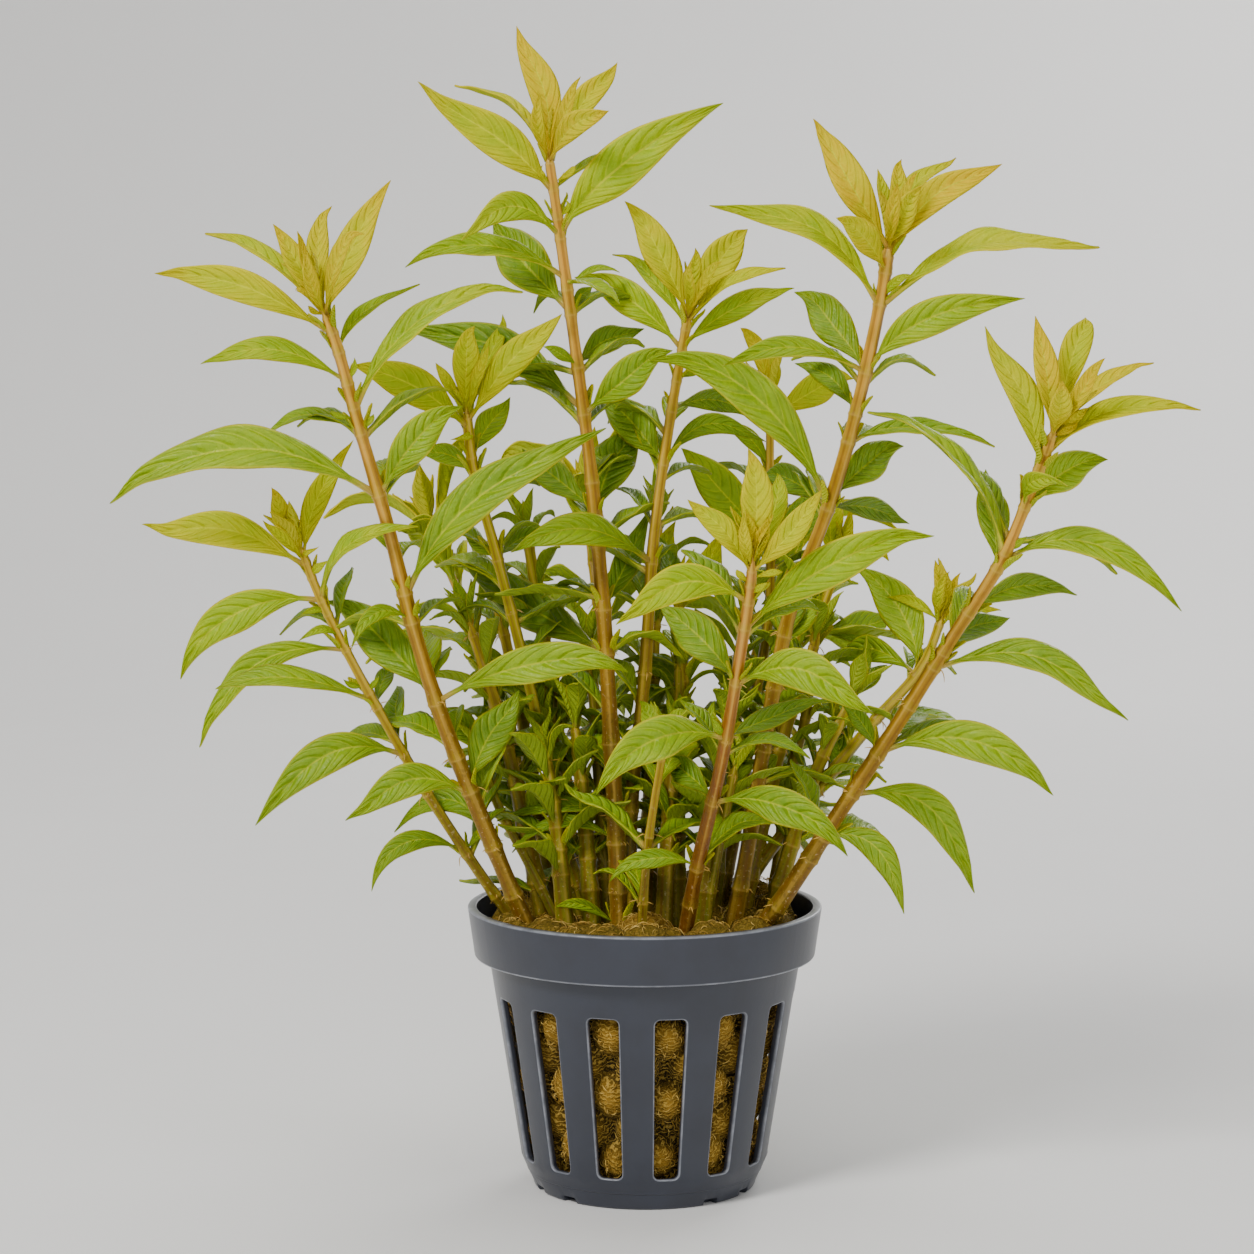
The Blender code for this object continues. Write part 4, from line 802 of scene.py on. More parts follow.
def add_stalk(shell, line, joints, hue, draw):
    """Adds a stem to a shell as a profile carried along its line, with its rootlets.

    The radius is the line's own, times 1 plus a swelling and a scar ring at each joint, plus
    four shallow ribs that wind slowly, and it closes in a cone. The rings lie closer together
    at the joints, to hold the scars.
    """
    joints = parted(joints)
    marks = line.along[np.array(parted([*joints, *bare_joints(line, joints, draw)]))]
    along = np.concatenate((np.arange(-STEM_SUNK, line.length, STALK_STEP), [line.length],
                            (marks[:, None] + JOINT_RINGS).ravel()))
    along = np.unique(np.clip(along, -STEM_SUNK, line.length))
    along = along[np.append(True, np.diff(along) > STALK_STEP / 18)]
    points = np.stack([np.interp(along, line.along, line.points[:, i]) for i in range(3)], -1)
    points = points + line.tangents[0] * np.minimum(along, 0.0)[:, None]
    tangents = unit(np.stack([np.interp(along, line.along, line.tangents[:, i])
                              for i in range(3)], -1))
    radii = np.interp(along, line.along, line.radii)
    side = unit(np.cross(tangents, (0.0, 1.0, 0.0)))
    other = np.cross(tangents, side)
    away = (along[:, None] - marks[None, :]) / MM
    swell = STEM_SWELL * np.exp(-(away / 0.9) ** 2).max(axis=1)
    scar = np.exp(-((away + 0.35) / 0.15) ** 2).max(axis=1)
    waist = np.exp(-((away - 0.10) / 0.20) ** 2).max(axis=1)
    close = np.clip((line.length - along) / (4.0 * radii), 0.0, 1.0)
    cone = np.maximum(1 - (1 - close) ** 1.6, 0.05)
    turn = np.linspace(0, 2 * np.pi, STEM_SIDES, endpoint=False)[None, :]
    wind = (along / (30 * MM))[:, None] + draw.uniform(0, 6.28)
    crest = np.cos(4 * turn + wind)
    ribs = 0.06 * crest + 0.02 * np.cos(3 * turn - 2 * wind)
    wobble = STEM_WOBBLE * np.sin(along / (2.6 * MM) + draw.uniform(0, 6.28))
    reach = radii * (1 + swell + STEM_SCAR * scar - STEM_WAIST * waist + wobble) * cone
    reach = reach[:, None] * (1 + ribs)
    rings = (points[:, None, :] + side[:, None, :] * (np.cos(turn) * reach)[:, :, None]
             + other[:, None, :] * (np.sin(turn) * reach)[:, :, None])
    grown = np.clip(1 - (line.length - along) / OLD_BELOW, 0, 1)
    grown = grown * (0.1 + 0.9 * smoothstep(0.0, GREEN_ABOVE, along))
    grown = np.append(np.repeat(grown, STEM_SIDES), (0.0, 1.0))
    stem_map = np.stack(np.broadcast_arrays(turn / (2 * np.pi), (along / (100 * MM))[:, None]), -1)
    shell.add(rings, (points[0], points[-1]), stem_map, grown=grown, ring=scar[:, None],
              hue=hue, crest=crest, node=(swell / STEM_SWELL)[:, None])
    for where in marks[marks < ROOTLETS_BELOW]:
        add_rootlets(shell, line, int(np.searchsorted(line.along, where)), draw)


def round_axis(radius, turn, height):
    """Points round the pot's axis, turned from its front: (r sin a, -r cos a, z)."""
    return np.stack((radius * np.sin(turn), -radius * np.cos(turn), height), -1)


def wall_radius(height):
    """The outer radius of the pot's body: straight above its low ledge, steeper below."""
    return np.interp(height, (BASE_ROUND, BODY_LOW, RIM_BAND_LOW),
                     (BASE_RADIUS, BODY_LOW_RADIUS, BODY_TOP_RADIUS))


def rounded_profile(corners):
    """A profile of (radius, height) points whose corners with a third number are rounded.

    Each rounded corner becomes a short parabola between two points at that distance from it.
    """
    path = []
    count = len(corners)
    for i, corner in enumerate(corners):
        place = np.array(corner[:2])
        if len(corner) < 3 or i in (0, count - 1):
            path.append(place)
            continue
        before = place + unit(np.array(corners[i - 1][:2]) - place) * corner[2]
        after = place + unit(np.array(corners[i + 1][:2]) - place) * corner[2]
        for t in (0.0, 0.25, 0.5, 0.75, 1.0):
            path.append(before * (1 - t) ** 2 + place * 2 * t * (1 - t) + after * t * t)
    return np.array(path)


def merged_object(name, points, quads, material, values):
    """An object from quads whose doubled seam points are merged, with its faces outwards."""
    mesh = bpy.data.meshes.new(name)
    mesh.from_pydata(points.tolist(), [], quads.tolist())
    name_values(mesh, values)
    work = bmesh.new()
    work.from_mesh(mesh)
    bmesh.ops.remove_doubles(work, verts=work.verts, dist=SEAM)
    bmesh.ops.dissolve_degenerate(work, edges=work.edges, dist=SEAM)
    bmesh.ops.recalc_face_normals(work, faces=work.faces)
    work.to_mesh(mesh)
    work.free()
    mesh.shade_smooth()
    return place_object(name, mesh, material)


def slot_square():
    """A walk round the edge of the square from -1 to 1, closest near its corners."""
    across, upward = (np.concatenate((steps, -np.array(steps[::-1])))
                      for steps in (TILE_ACROSS, TILE_UPWARD))
    low = np.stack((across[:-1], -np.ones(len(across) - 1)), -1)
    right = np.stack((np.ones(len(upward) - 1), upward[:-1]), -1)
    return np.vstack((low, right, -low, -right)), across


def slot_tile():
    """One slot and the wall round it, as (angle, height, depth) points, rings by edge points.

    Each point of the square's edge has a partner on the slot's rounded outline and one on the
    tile's edge. The rings go from the tile's edge to the outline on the outer face, over a
    fillet, through the wall, over a fillet, and back to the tile's edge on the inner face.
    """
    square, across = slot_square()
    middle = (SLOT_LOW + SLOT_HIGH) / 2
    tall = (SLOT_HIGH - SLOT_LOW) / 2
    wide = np.interp(square[:, 1], (-1, 1), (SLOT_WIDTH_LOW / 2, SLOT_WIDTH_HIGH / 2))
    want = np.stack((square[:, 0] * wide, square[:, 1] * tall), -1)
    inner = np.stack((wide - SLOT_CORNER, np.full(len(wide), tall - SLOT_CORNER)), -1)
    core = np.clip(want, -inner, inner)
    outward = unit(want - core)
    outline = core + outward * SLOT_CORNER
    tile_middle = (TILE_LOW + TILE_HIGH) / 2
    edge = np.stack((square[:, 0] * math.pi / SLOT_COUNT,
                     tile_middle + square[:, 1] * (TILE_HIGH - TILE_LOW) / 2), -1)

    def flat(offset):
        spot = outline + outward * offset
        height = middle + spot[:, 1]
        return np.stack((spot[:, 0] / wall_radius(height), height), -1)

    def fillet(turn):
        return SLOT_FILLET * (1 - math.sin(turn)), SLOT_FILLET * (1 - math.cos(turn))

    outside = [fillet(turn) for turn in (0.0, 0.5, 1.0, math.pi / 2)]
    inside = [fillet(turn) for turn in (math.pi / 2, 0.8, 0.0)]
    steps = [*((share, SLOT_FILLET, 0.0) for share in (1.0, 0.75, 0.5, 0.28, 0.12)),
             *((0.0, offset, depth) for offset, depth in outside),
             (0.0, 0.0, POT_WALL / 2),
             *((0.0, offset, POT_WALL - depth) for offset, depth in inside),
             *((share, SLOT_FILLET, POT_WALL) for share in (0.2, 0.55, 1.0))]
    rings = []
    painted_highlight = []
    for share, offset, depth in steps:
        spot = flat(offset) * (1 - share) + edge * share
        rings.append(np.column_stack((spot, np.full(len(spot), depth))))
        # The points round the slot's outer edge carry the pot's painted highlight.
        near_edge = share == 0.0 and offset < SLOT_FILLET and depth < POT_WALL / 2
        painted_highlight.append(np.full(len(spot), 1.0 if near_edge else 0.0))
    return np.array(rings), np.array(painted_highlight), across


def make_pot(material):
    """The net pot: a tile for each slot, with a turned rim above and a turned base below.

    The turned stretches are profiles carried round the axis, at the same angles as the tiles'
    edges, so the three meet without a gap.
    """
    tile, tile_painted_highlight, across = slot_tile()
    pitch = 2 * math.pi / SLOT_COUNT
    centres = SLOT_TURN + pitch * np.arange(SLOT_COUNT)
    angles = (centres[:, None] + across[None, :-1] * math.pi / SLOT_COUNT).ravel()
    grids = []
    painted_highlight = []
    for centre in centres:
        grids.append(round_axis(wall_radius(tile[:, :, 1]) - tile[:, :, 2],
                                centre + tile[:, :, 0], tile[:, :, 1]))
        painted_highlight.append(tile_painted_highlight.ravel())

    lip_in = RIM_RADIUS - RIM_LIP
    rim = rounded_profile((
        (wall_radius(TILE_HIGH), TILE_HIGH),
        (BODY_TOP_RADIUS, RIM_BAND_LOW - 0.15 * MM, 0.25 * MM),
        (RIM_BAND_LOW_RADIUS, RIM_BAND_LOW, 0.3 * MM),
        (RIM_RADIUS, POT_HEIGHT, 0.35 * MM),
        (lip_in, POT_HEIGHT, 0.25 * MM),
        (lip_in - 0.2 * MM, RIM_BAND_LOW + 1.8 * MM, 0.5 * MM),
        (BODY_TOP_RADIUS - POT_WALL, RIM_BAND_LOW + 1.1 * MM, 0.5 * MM),
        (wall_radius(TILE_HIGH) - POT_WALL, TILE_HIGH)))
    under = rounded_profile((
        (wall_radius(TILE_LOW), TILE_LOW),
        (wall_radius(TILE_LOW) - 0.02 * MM, TILE_LOW - 0.14 * MM, 0.06 * MM),
        (wall_radius(TILE_LOW) - 0.2 * MM, TILE_LOW - 0.24 * MM, 0.06 * MM),
        (BASE_RADIUS + 0.5 * MM, 2.2 * MM),
        (BASE_RADIUS - 0.1 * MM, NOTCH_HEIGHT + 0.02 * MM),
        (BASE_RADIUS - 0.35 * MM, 0.0, 0.45 * MM),
        (BASE_RADIUS - 1.6 * MM, 0.0),
        (BASE_RADIUS - 1.8 * MM, 0.0),
        (BASE_RADIUS / 2, 0.0),
        (0.0, 0.0)))
    inside = rounded_profile((
        (0.0, POT_WALL),
        (BASE_RADIUS - POT_WALL, POT_WALL, 0.6 * MM),
        (wall_radius(TILE_LOW) - POT_WALL, TILE_LOW)))
    for profile in (rim, under, inside):
        radius, height, turn = np.broadcast_arrays(profile[:, :1], profile[:, 1:], angles[None, :])
        near = (turn - SLOT_TURN) / pitch
        slot = np.round(near).astype(int)
        in_notch = np.isin(slot % SLOT_COUNT, NOTCH_SLOTS)
        in_notch &= np.abs(near - slot) * pitch * BASE_RADIUS < NOTCH_WIDTH / 2 + 0.05 * MM
        in_notch &= (radius > BASE_RADIUS - NOTCH_DEEP) & (height < NOTCH_HEIGHT)
        grids.append(round_axis(radius, turn, np.where(in_notch, NOTCH_HEIGHT, height)))
        # The rim's outer lip and the band's ledge carry the painted highlight too.
        lip = np.abs(profile[:, 1] - POT_HEIGHT) < 0.3 * MM
        lip = lip & (profile[:, 0] > RIM_RADIUS - 0.5 * MM)
        ledge = np.abs(profile[:, 1] - RIM_BAND_LOW) < 0.25 * MM
        ledge = ledge & (profile[:, 0] > BODY_TOP_RADIUS + 1 * MM)
        painted_highlight.append(np.repeat(lip | ledge, len(angles)))
    starts = np.cumsum([0, *(grid[:, :, 0].size for grid in grids)])
    quads = [grid_quads(*grid.shape[:2], True) + start for grid, start in zip(grids, starts)]
    pot = merged_object("net_pot_shell", np.vstack([grid.reshape(-1, 3) for grid in grids]),
                        np.vstack(quads), material, {"painted_highlight": np.concatenate(painted_highlight)})
    pot.data.set_sharp_from_angle(angle=POT_SHARP)
    return pot


def ripple(points, size, draw, waves=14):
    """A smooth random value from -1 to 1: sines along random directions, about size apart."""
    total = np.zeros(len(points))
    for _ in range(waves):
        direction = unit(draw.normal(size=3)) * 2 * np.pi / size * draw.uniform(0.6, 1.5)
        total += np.sin(points @ direction + draw.uniform(0, 2 * np.pi))
    return total / math.sqrt(waves) / 1.2


def ripples(points, rows, draw):
    """The sum of ripples, each given by its height and size."""
    return sum(high * ripple(points, size, draw) for high, size in rows)


def wool_balls(draw):
    """The wool's balls against the pot's wall: angle, height and radius of each.

    A column of balls stands behind each slot, and one between slots stands half a ball lower.
    """
    balls = []
    rise = (SLOT_HIGH + 4 * MM - SLOT_LOW) / WOOL_ROWS
    for column in range(2 * SLOT_COUNT):
        turn = SLOT_TURN + math.pi / SLOT_COUNT * column
        for row in range(WOOL_ROWS + 1):
            height = SLOT_LOW + rise * (row + 0.25 - 0.5 * (column % 2))
            balls.append((turn + draw.normal(0, BALL_TURN), height + draw.normal(0, BALL_SHIFT),
                          WOOL_BALL * draw.uniform(*BALL_SIZES)))
    return np.array(balls)


def wool_side(turn, height, balls):
    """The wool's radius at an angle and a height: the highest of the balls over a core."""
    limit = wall_radius(height) - POT_WALL - WOOL_CLEAR
    radius = limit - WOOL_CORE
    for ball_turn, ball_height, ball in balls:
        across = (np.mod(turn - ball_turn + np.pi, 2 * np.pi) - np.pi) * limit
        gap = across ** 2 + (height - ball_height) ** 2
        dome = limit - ball + np.sqrt(np.maximum(ball ** 2 - gap, 0.0))
        radius = np.where(gap < ball ** 2, np.maximum(radius, dome), radius)
    return radius


def wool_rise(x, y):
    """How much higher the wool lies near the pot's wall, most at the back; all in mm."""
    rise = WOOL_RISE + WOOL_RISE_BACK * smoothstep(-4.0, 14.0, y)
    return rise * smoothstep(WOOL_RISE_FROM, WOOL_RISE_TO, np.hypot(x, y))


def top_lumps(draw):
    """The lumps of the wool's top, in mm: the big ones, and small ones on a golden spiral."""
    lumps = [(*centre, *size) for centre, size in WOOL_LUMPS]
    for i in range(TOP_LUMPS):
        away = TOP_LUMP_SPREAD * math.sqrt((i + 0.5) / TOP_LUMPS)
        turn = i * GOLDEN_TURN
        ball = draw.uniform(*LUMP_SIZES)
        x, y = away * math.cos(turn), away * math.sin(turn)
        lumps.append((x, y, WOOL_TOP / MM - 0.5 + wool_rise(x, y), ball,
                      ball * draw.uniform(*LUMP_ROUND), draw.uniform(*LUMP_RISE) * ball))
    return np.array(lumps)


def wool_top(x, y, lumps):
    """The wool's height over a place: the highest of the top lumps over a flat core."""
    height = WOOL_TOP + (wool_rise(x / MM, y / MM) - 0.9) * MM
    for cx, cy, cz, rx, ry, rz in lumps:
        share = 1 - ((x / MM - cx) / rx) ** 2 - ((y / MM - cy) / ry) ** 2
        dome = (cz - 0.1 + rz * np.maximum(share, 0.0) ** 0.42) * MM
        height = np.where(share > 0, np.maximum(height, dome), height)
    return height


def make_wool(balls, lumps, material, draw):
    """The wool plug: its side's radius over angle and height, closed by its top and floor."""
    turns, rises, spread = WOOL_MESH
    turn, height = np.meshgrid(np.linspace(0, 2 * np.pi, turns, endpoint=False),
                               np.linspace(WOOL_FLOOR, WOOL_TOP - WOOL_EDGE, rises))
    radius = wool_side(turn, height, balls)
    flat = round_axis(radius, turn, height).reshape(-1, 3)
    rough = ripples(flat, SIDE_RIPPLES, draw)
    shrink = 1 - (np.abs(rough) / radius.ravel())[:, None] * np.array((1, 1, 0))
    side = (flat * shrink).reshape(rises, turns, 3)

    shares = np.linspace(1.0, 0.02, spread)[:, None]
    x = WOOL_SPREAD * shares * np.sin(turn[:1])
    y = -WOOL_SPREAD * shares * np.cos(turn[:1])
    top = wool_top(x, y, lumps)
    lay = np.stack((x, y, top), -1).reshape(-1, 3)
    top = top + ripples(lay, TOP_RIPPLES, draw).reshape(top.shape)
    top = WOOL_SHELF + (top - WOOL_SHELF) * np.sqrt(np.clip((1.0 - shares) / 0.09, 0.0, 1.0))
    floor = side[:1] * (0.02, 0.02, 0.0) + (0.0, 0.0, WOOL_FLOOR)
    rings = np.vstack((floor, side, np.stack((x, y, top), -1)))
    ends = ((0.0, 0.0, WOOL_FLOOR), (0.0, 0.0, float(top[-1].mean())))
    x, y, z = np.vstack((rings.reshape(-1, 3), *ends)).T
    # Painted shade: the side is darkened the further it lies in from the pot's wall, deep between
    # its balls. On the top, all outside the main lump gets a fixed darkening of 0.30 instead.
    hollow = np.clip((wall_radius(z) - POT_WALL - WOOL_CLEAR - np.hypot(x, y)) / WOOL_DEEP, 0, 1)
    on_top = z > WOOL_TOP - WOOL_COVER
    (cx, cy, _), (rx, ry, _) = WOOL_LUMPS[0]
    near = ((x / MM - cx) / rx) ** 2 + ((y / MM - cy) / ry) ** 2
    shell = Shell()
    shell.add(rings, ends, hollow=np.where(on_top, 0.30 * (near > 1.0), hollow),
              olive=on_top * smoothstep(0.8, 1.2, near))
    return shell.build("wool_body", material)


def add_fibre(shell, path, thin, **values):
    """A strand: a three-sided tube along a path, with closed ends."""
    tangent = unit(np.gradient(path, axis=0))
    side = unit(np.cross(tangent, np.array((0.31, 0.17, 0.93))))
    other = np.cross(tangent, side)
    turn = np.array(FIBRE_SIDES)[None, :, None]
    taper = thin * np.sin(np.pi * np.linspace(0.12, 0.9, len(path)))[:, None, None]
    around = side[:, None, :] * np.cos(turn) + other[:, None, :] * np.sin(turn)
    shell.add(path[:, None, :] + around * taper, (path[0], path[-1]), **values)


def curled(start, long, angle):
    """The X and Y of a strand of a length from a start, with its heading at each step."""
    return (start[0] + long * np.cumsum(np.cos(angle)) / len(angle),
            start[1] + long * np.cumsum(np.sin(angle)) / len(angle))


def make_side_fibres(balls, material, draw):
    """Curled strands over the balls of the wool's side.

    Each strand is an arc over a ball's surface that runs away from the ball's middle, lifted
    a little off it, and it is kept inside the pot's wall.
    """
    shell = Shell()
    steps = np.linspace(0, 1, FIBRE_STEPS)
    for number, (ball_turn, height, ball) in enumerate(balls):
        limit = wall_radius(height) - POT_WALL - WOOL_CLEAR
        hidden = number // (WOOL_ROWS + 1) % 2
        for _ in range(FIBRES_HIDDEN if hidden else FIBRES_EACH):
            start = draw.normal(0, SIDE_SPREAD, 2) * ball
            long = draw.uniform(*SIDE_STRAND) * MM
            angle = math.atan2(start[1], start[0]) + draw.normal(0, 0.7)
            across, up = curled(start, long, angle + draw.uniform(-SIDE_CURL, SIDE_CURL) * steps)
            gap = np.minimum(across ** 2 + up ** 2, (0.96 * ball) ** 2)
            lift = draw.uniform(*SIDE_LIFT) * MM * np.sin(np.pi * steps ** 0.7)
            radius = limit - ball + np.sqrt(ball ** 2 - gap) + lift
            radius = np.minimum(radius, limit + 0.25 * MM)
            path = round_axis(radius, ball_turn + across / limit,
                              np.maximum(height + up, WOOL_FLOOR))
            add_fibre(shell, path, draw.uniform(*FIBRE_RADIUS), pale=draw.uniform(0, 1))
    return shell.build("wool_side_fibres", material)


def make_top_fibres(lumps, material, draw):
    """Curled strands over the lumps of the wool's top, kept inside the pot's wall."""
    shell = Shell()
    steps = np.linspace(0, 1, FIBRE_STEPS)
    limit = WOOL_SPREAD - 0.5 * MM
    for cx, cy, _, rx, ry, _ in lumps:
        for _ in range(FIBRES_TOP):
            spot = (np.array((cx, cy)) + draw.normal(0, TOP_SPREAD, 2) * (rx, ry)) * MM
            long = draw.uniform(*TOP_STRAND) * MM
            angle = draw.uniform(0, 2 * np.pi) + draw.uniform(-TOP_CURL, TOP_CURL) * steps
            x, y = curled(spot, long, angle)
            inside = np.minimum(1.0, limit / np.maximum(np.hypot(x, y), SEAM))
            x, y = x * inside, y * inside
            lift = draw.uniform(*TOP_LIFT) * MM
            z = wool_top(x, y, lumps) + lift * (0.4 + np.sin(np.pi * steps))
            add_fibre(shell, np.stack((x, y, z), -1), draw.uniform(*FIBRE_RADIUS),
                      pale=draw.uniform(0, 1))
    return shell.build("wool_top_fibres", material)


def colour(red, green, blue):
    """A shader colour from its sRGB values, 0 to 255."""
    share = np.array((red, green, blue)) / 255
    linear = np.where(share <= 0.04045, share / 12.92, ((share + 0.055) / 1.055) ** 2.4)
    return (*linear.tolist(), 1.0)


class ShaderTree:
    """Adds nodes to a tree: each call makes them, fills their inputs and returns an output."""

    def __init__(self, tree):
        self.tree = tree

    def feed(self, socket, value):
        """Links an output to a socket, or sets the socket's own value."""
        if isinstance(value, bpy.types.NodeSocket):
            self.tree.links.new(value, socket)
        else:
            socket.default_value = value

    def node(self, kind, inputs, output=0, **settings):
        made = self.tree.nodes.new("ShaderNode" + kind)
        for setting, value in settings.items():
            setattr(made, setting, value)
        for socket, value in inputs.items():
            self.feed(made.inputs[socket], value)
        return made.outputs[output]

    def group(self, name, inputs, output):
        return self.node("Group", inputs, output, node_tree=bpy.data.node_groups[name])

    def math(self, operation, *values):
        return self.node("Math", dict(enumerate(values)), operation=operation)

    def times(self, first, *rest):
        """The product of values."""
        return self.math("MULTIPLY", first, self.times(*rest)) if rest else first

    def linear(self, value, slope, start):
        """A value times a slope, plus a start."""
        return self.math("MULTIPLY_ADD", value, slope, start)

    def rise(self, value, low, high, start=0.0, end=1.0):
        """A smooth step from start to end while the value goes from low to high."""
        return self.node("MapRange", {"Value": value, "From Min": low, "From Max": high,
                                      "To Min": start, "To Max": end},
                         "Result", interpolation_type="SMOOTHSTEP")

    def value_of(self, name):
        """A named value of the mesh."""
        return self.node("Attribute", {}, "Fac", attribute_name=name)

    def place(self, stretch=(1.0, 1.0, 1.0)):
        """The place on the object, in metres, stretched along its axes."""
        return self.node("Mapping", {"Vector": self.node("TexCoord", {}, "Object"),
                                     "Scale": stretch})

    def mottling(self, scale, *stretch):
        """Soft blotches, from 0 to 1."""
        return self.group("mottling", {"Place": self.place(*stretch), "Scale": scale}, "Mask")

    def texture(self, kind, inputs, output="Fac", **settings):
        return self.node("Tex" + kind, {"Vector": self.place(), **inputs}, output, **settings)

    def mix(self, share, first, second):
        return self.node("Mix", {0: share, 6: first, 7: second}, 2, data_type="RGBA")

    def layers(self, shade, *rows):
        """Lays tones over a shade in turn, each as far as the product of its shares."""
        for tone, *shares in rows:
            shade = self.mix(self.times(*shares), shade, colour(*tone))
        return shade

    def ramp(self, value, stops):
        """Colours along a value, from (position, red, green, blue) stops."""
        out = self.node("ValToRGB", {"Fac": value}, "Color")
        elements = out.node.color_ramp.elements
        while len(elements) < len(stops):
            elements.new(1.0)
        for element, (position, *tone) in zip(elements, stops):
            element.position = position
            element.color = colour(*tone)
        return out

    def bump(self, height, strength, distance):
        """The relief of a height: its strength, and its distance in mm."""
        return self.node("Bump", {"Height": height, "Strength": strength,
                                  "Distance": distance * MM}, "Normal")

    def surface(self, **values):
        """Sets or feeds the sockets of the material's Principled BSDF."""
        sockets = self.tree.nodes["Principled BSDF"].inputs
        for name, value in values.items():
            self.feed(sockets[name.replace("_", " ")], value)


def new_group(name, inputs, outputs):
    """An empty shader node group with sockets by name and kind, and its two end nodes."""
    tree = bpy.data.node_groups.new(name, "ShaderNodeTree")
    for way, sockets in (("INPUT", inputs), ("OUTPUT", outputs)):
        for socket, kind in sockets.items():
            tree.interface.new_socket(socket, in_out=way, socket_type="NodeSocket" + kind)
    start = tree.nodes.new("NodeGroupInput")
    end = tree.nodes.new("NodeGroupOutput")
    return ShaderTree(tree), start.outputs, end.inputs


def build_groups():
    """The shared effects: mottling, and the pattern of a leaf's veins."""
    net, given, out = new_group("mottling", {"Place": "Vector", "Scale": "Float"},
                                {"Mask": "Float"})
    cloud = net.node("TexNoise", {"Vector": given["Place"], "Scale": given["Scale"],
                                  "Detail": 4.0, "Roughness": 0.6}, "Fac")
    net.feed(out["Mask"], net.rise(cloud, 0.32, 0.68))

    parts = ("Vein", "Midrib", "Margin", "Outer", "Quilt")
    net, given, out = new_group("leaf_veins", {"Along": "Float", "Across": "Float"},
                                dict.fromkeys(parts, "Float"))
    along = given["Along"]
    signed = net.linear(given["Across"], 2.0, -1.0)
    size = net.math("ABSOLUTE", signed)
    left = net.math("LESS_THAN", signed, 0.0)
    fall = net.times(size, net.linear(size, VEIN_RISE[1], VEIN_RISE[0]))
    phase = net.times(net.math("SUBTRACT", along, fall), VEIN_PAIRS)
    away = net.math("PINGPONG", net.linear(left, VEIN_SHIFT, phase), 0.5)
    midrib = net.math("DIVIDE", size, net.linear(along, -0.05, 0.09))
    patterns = (
        net.times(net.rise(away, 0.02, 0.09, 1.0, 0.0), net.rise(size, 0.72, 0.96, 1.0, 0.0),
                  net.rise(along, 0.03, 0.12), net.rise(along, 0.82, 0.98, 1.0, 0.0)),
        net.rise(midrib, 0.35, 1.0, 1.0, 0.0),
        net.rise(size, 0.86, 0.96),
        net.rise(size, 0.3, 1.0),
        net.times(net.rise(away, 0.0, 0.32), net.rise(size, 0.75, 1.0, 1.0, 0.0)))
    for part, pattern in zip(parts, patterns):
        net.feed(out[part], pattern)


def new_material(name, **constants):
    """A material with a Principled BSDF whose constant sockets are set."""
    material = bpy.data.materials.new(name)
    material.use_nodes = True
    net = ShaderTree(material.node_tree)
    net.surface(**constants)
    return material, net


def leaf_material(name, stops, pale, warm):
    """A leaf: colours of ageing, darker with painted shade where it lies deeper in the bunch,
    painted shade at a young leaf's base, pale veins and midrib, a yellow margin, a warm tip, a
    pale back.
    """
    material, net = new_material(
        name, Specular_Tint=(1.0, 0.96, 0.62, 1.0), Subsurface_Weight=0.14,
        Subsurface_Scale=0.8 * MM, Subsurface_Radius=(0.9, 1.0, 0.1))
    split = net.node("SeparateXYZ", {0: net.node("UVMap", {}, uv_map="UVMap")}).node.outputs
    along = split["Y"]
    pattern = net.group("leaf_veins", {"Across": split["X"], "Along": along}, "Vein").node.outputs
    spots = net.mottling(900.0)
    under = net.value_of("beneath")
    leaf_age_and_shade = net.value_of("age")
    fresh = net.rise(leaf_age_and_shade, 0.1, 1.0, 1.0, 0.4)
    young = net.rise(leaf_age_and_shade, 0.05, 0.40, 1.0, 0.10)
    age = net.linear(net.mottling(160.0), 0.14, leaf_age_and_shade)
    age = net.linear(along, -0.10, net.linear(net.value_of("tint"), 0.14, age))
    shade = net.layers(
        net.ramp(net.math("SUBTRACT", age, 0.08), stops),
        (pale, spots, 0.08),
        (warm, pattern["Outer"], young, 0.30),
        # Painted shade: the base of a young leaf is laid over with a deeper orange-gold, as if the
        # crown's heart lay in shade.
        ((202, 156, 0), net.rise(along, 0.05, 0.5, 0.5, 0.0), young),
        (pale, pattern["Vein"], fresh, 0.28),
        (pale, pattern["Midrib"], fresh, 0.7),
        (warm, net.rise(along, 0.70, 1.0, 0.0, 0.55), young),
        ((232, 212, 36), pattern["Margin"], fresh, 0.72),
        ((206, 160, 80), net.rise(along, 0.02, 0.11, 0.75, 0.0)),
        ((176, 190, 60), under, 0.35))
    cells = net.texture("Voronoi", {"Scale": 1500.0}, "Distance", feature="DISTANCE_TO_EDGE")
    height = net.linear(net.rise(cells, 0.0, 0.25), 0.16, pattern["Quilt"])
    net.surface(Base_Color=shade, Specular_IOR_Level=net.rise(leaf_age_and_shade, 0.15, 0.6, 0.06, 0.48),
                Roughness=net.linear(under, 0.16, net.linear(spots, 0.14, 0.38)),
                Normal=net.bump(net.linear(spots, 0.12, height), 0.75, 0.24))
    return material


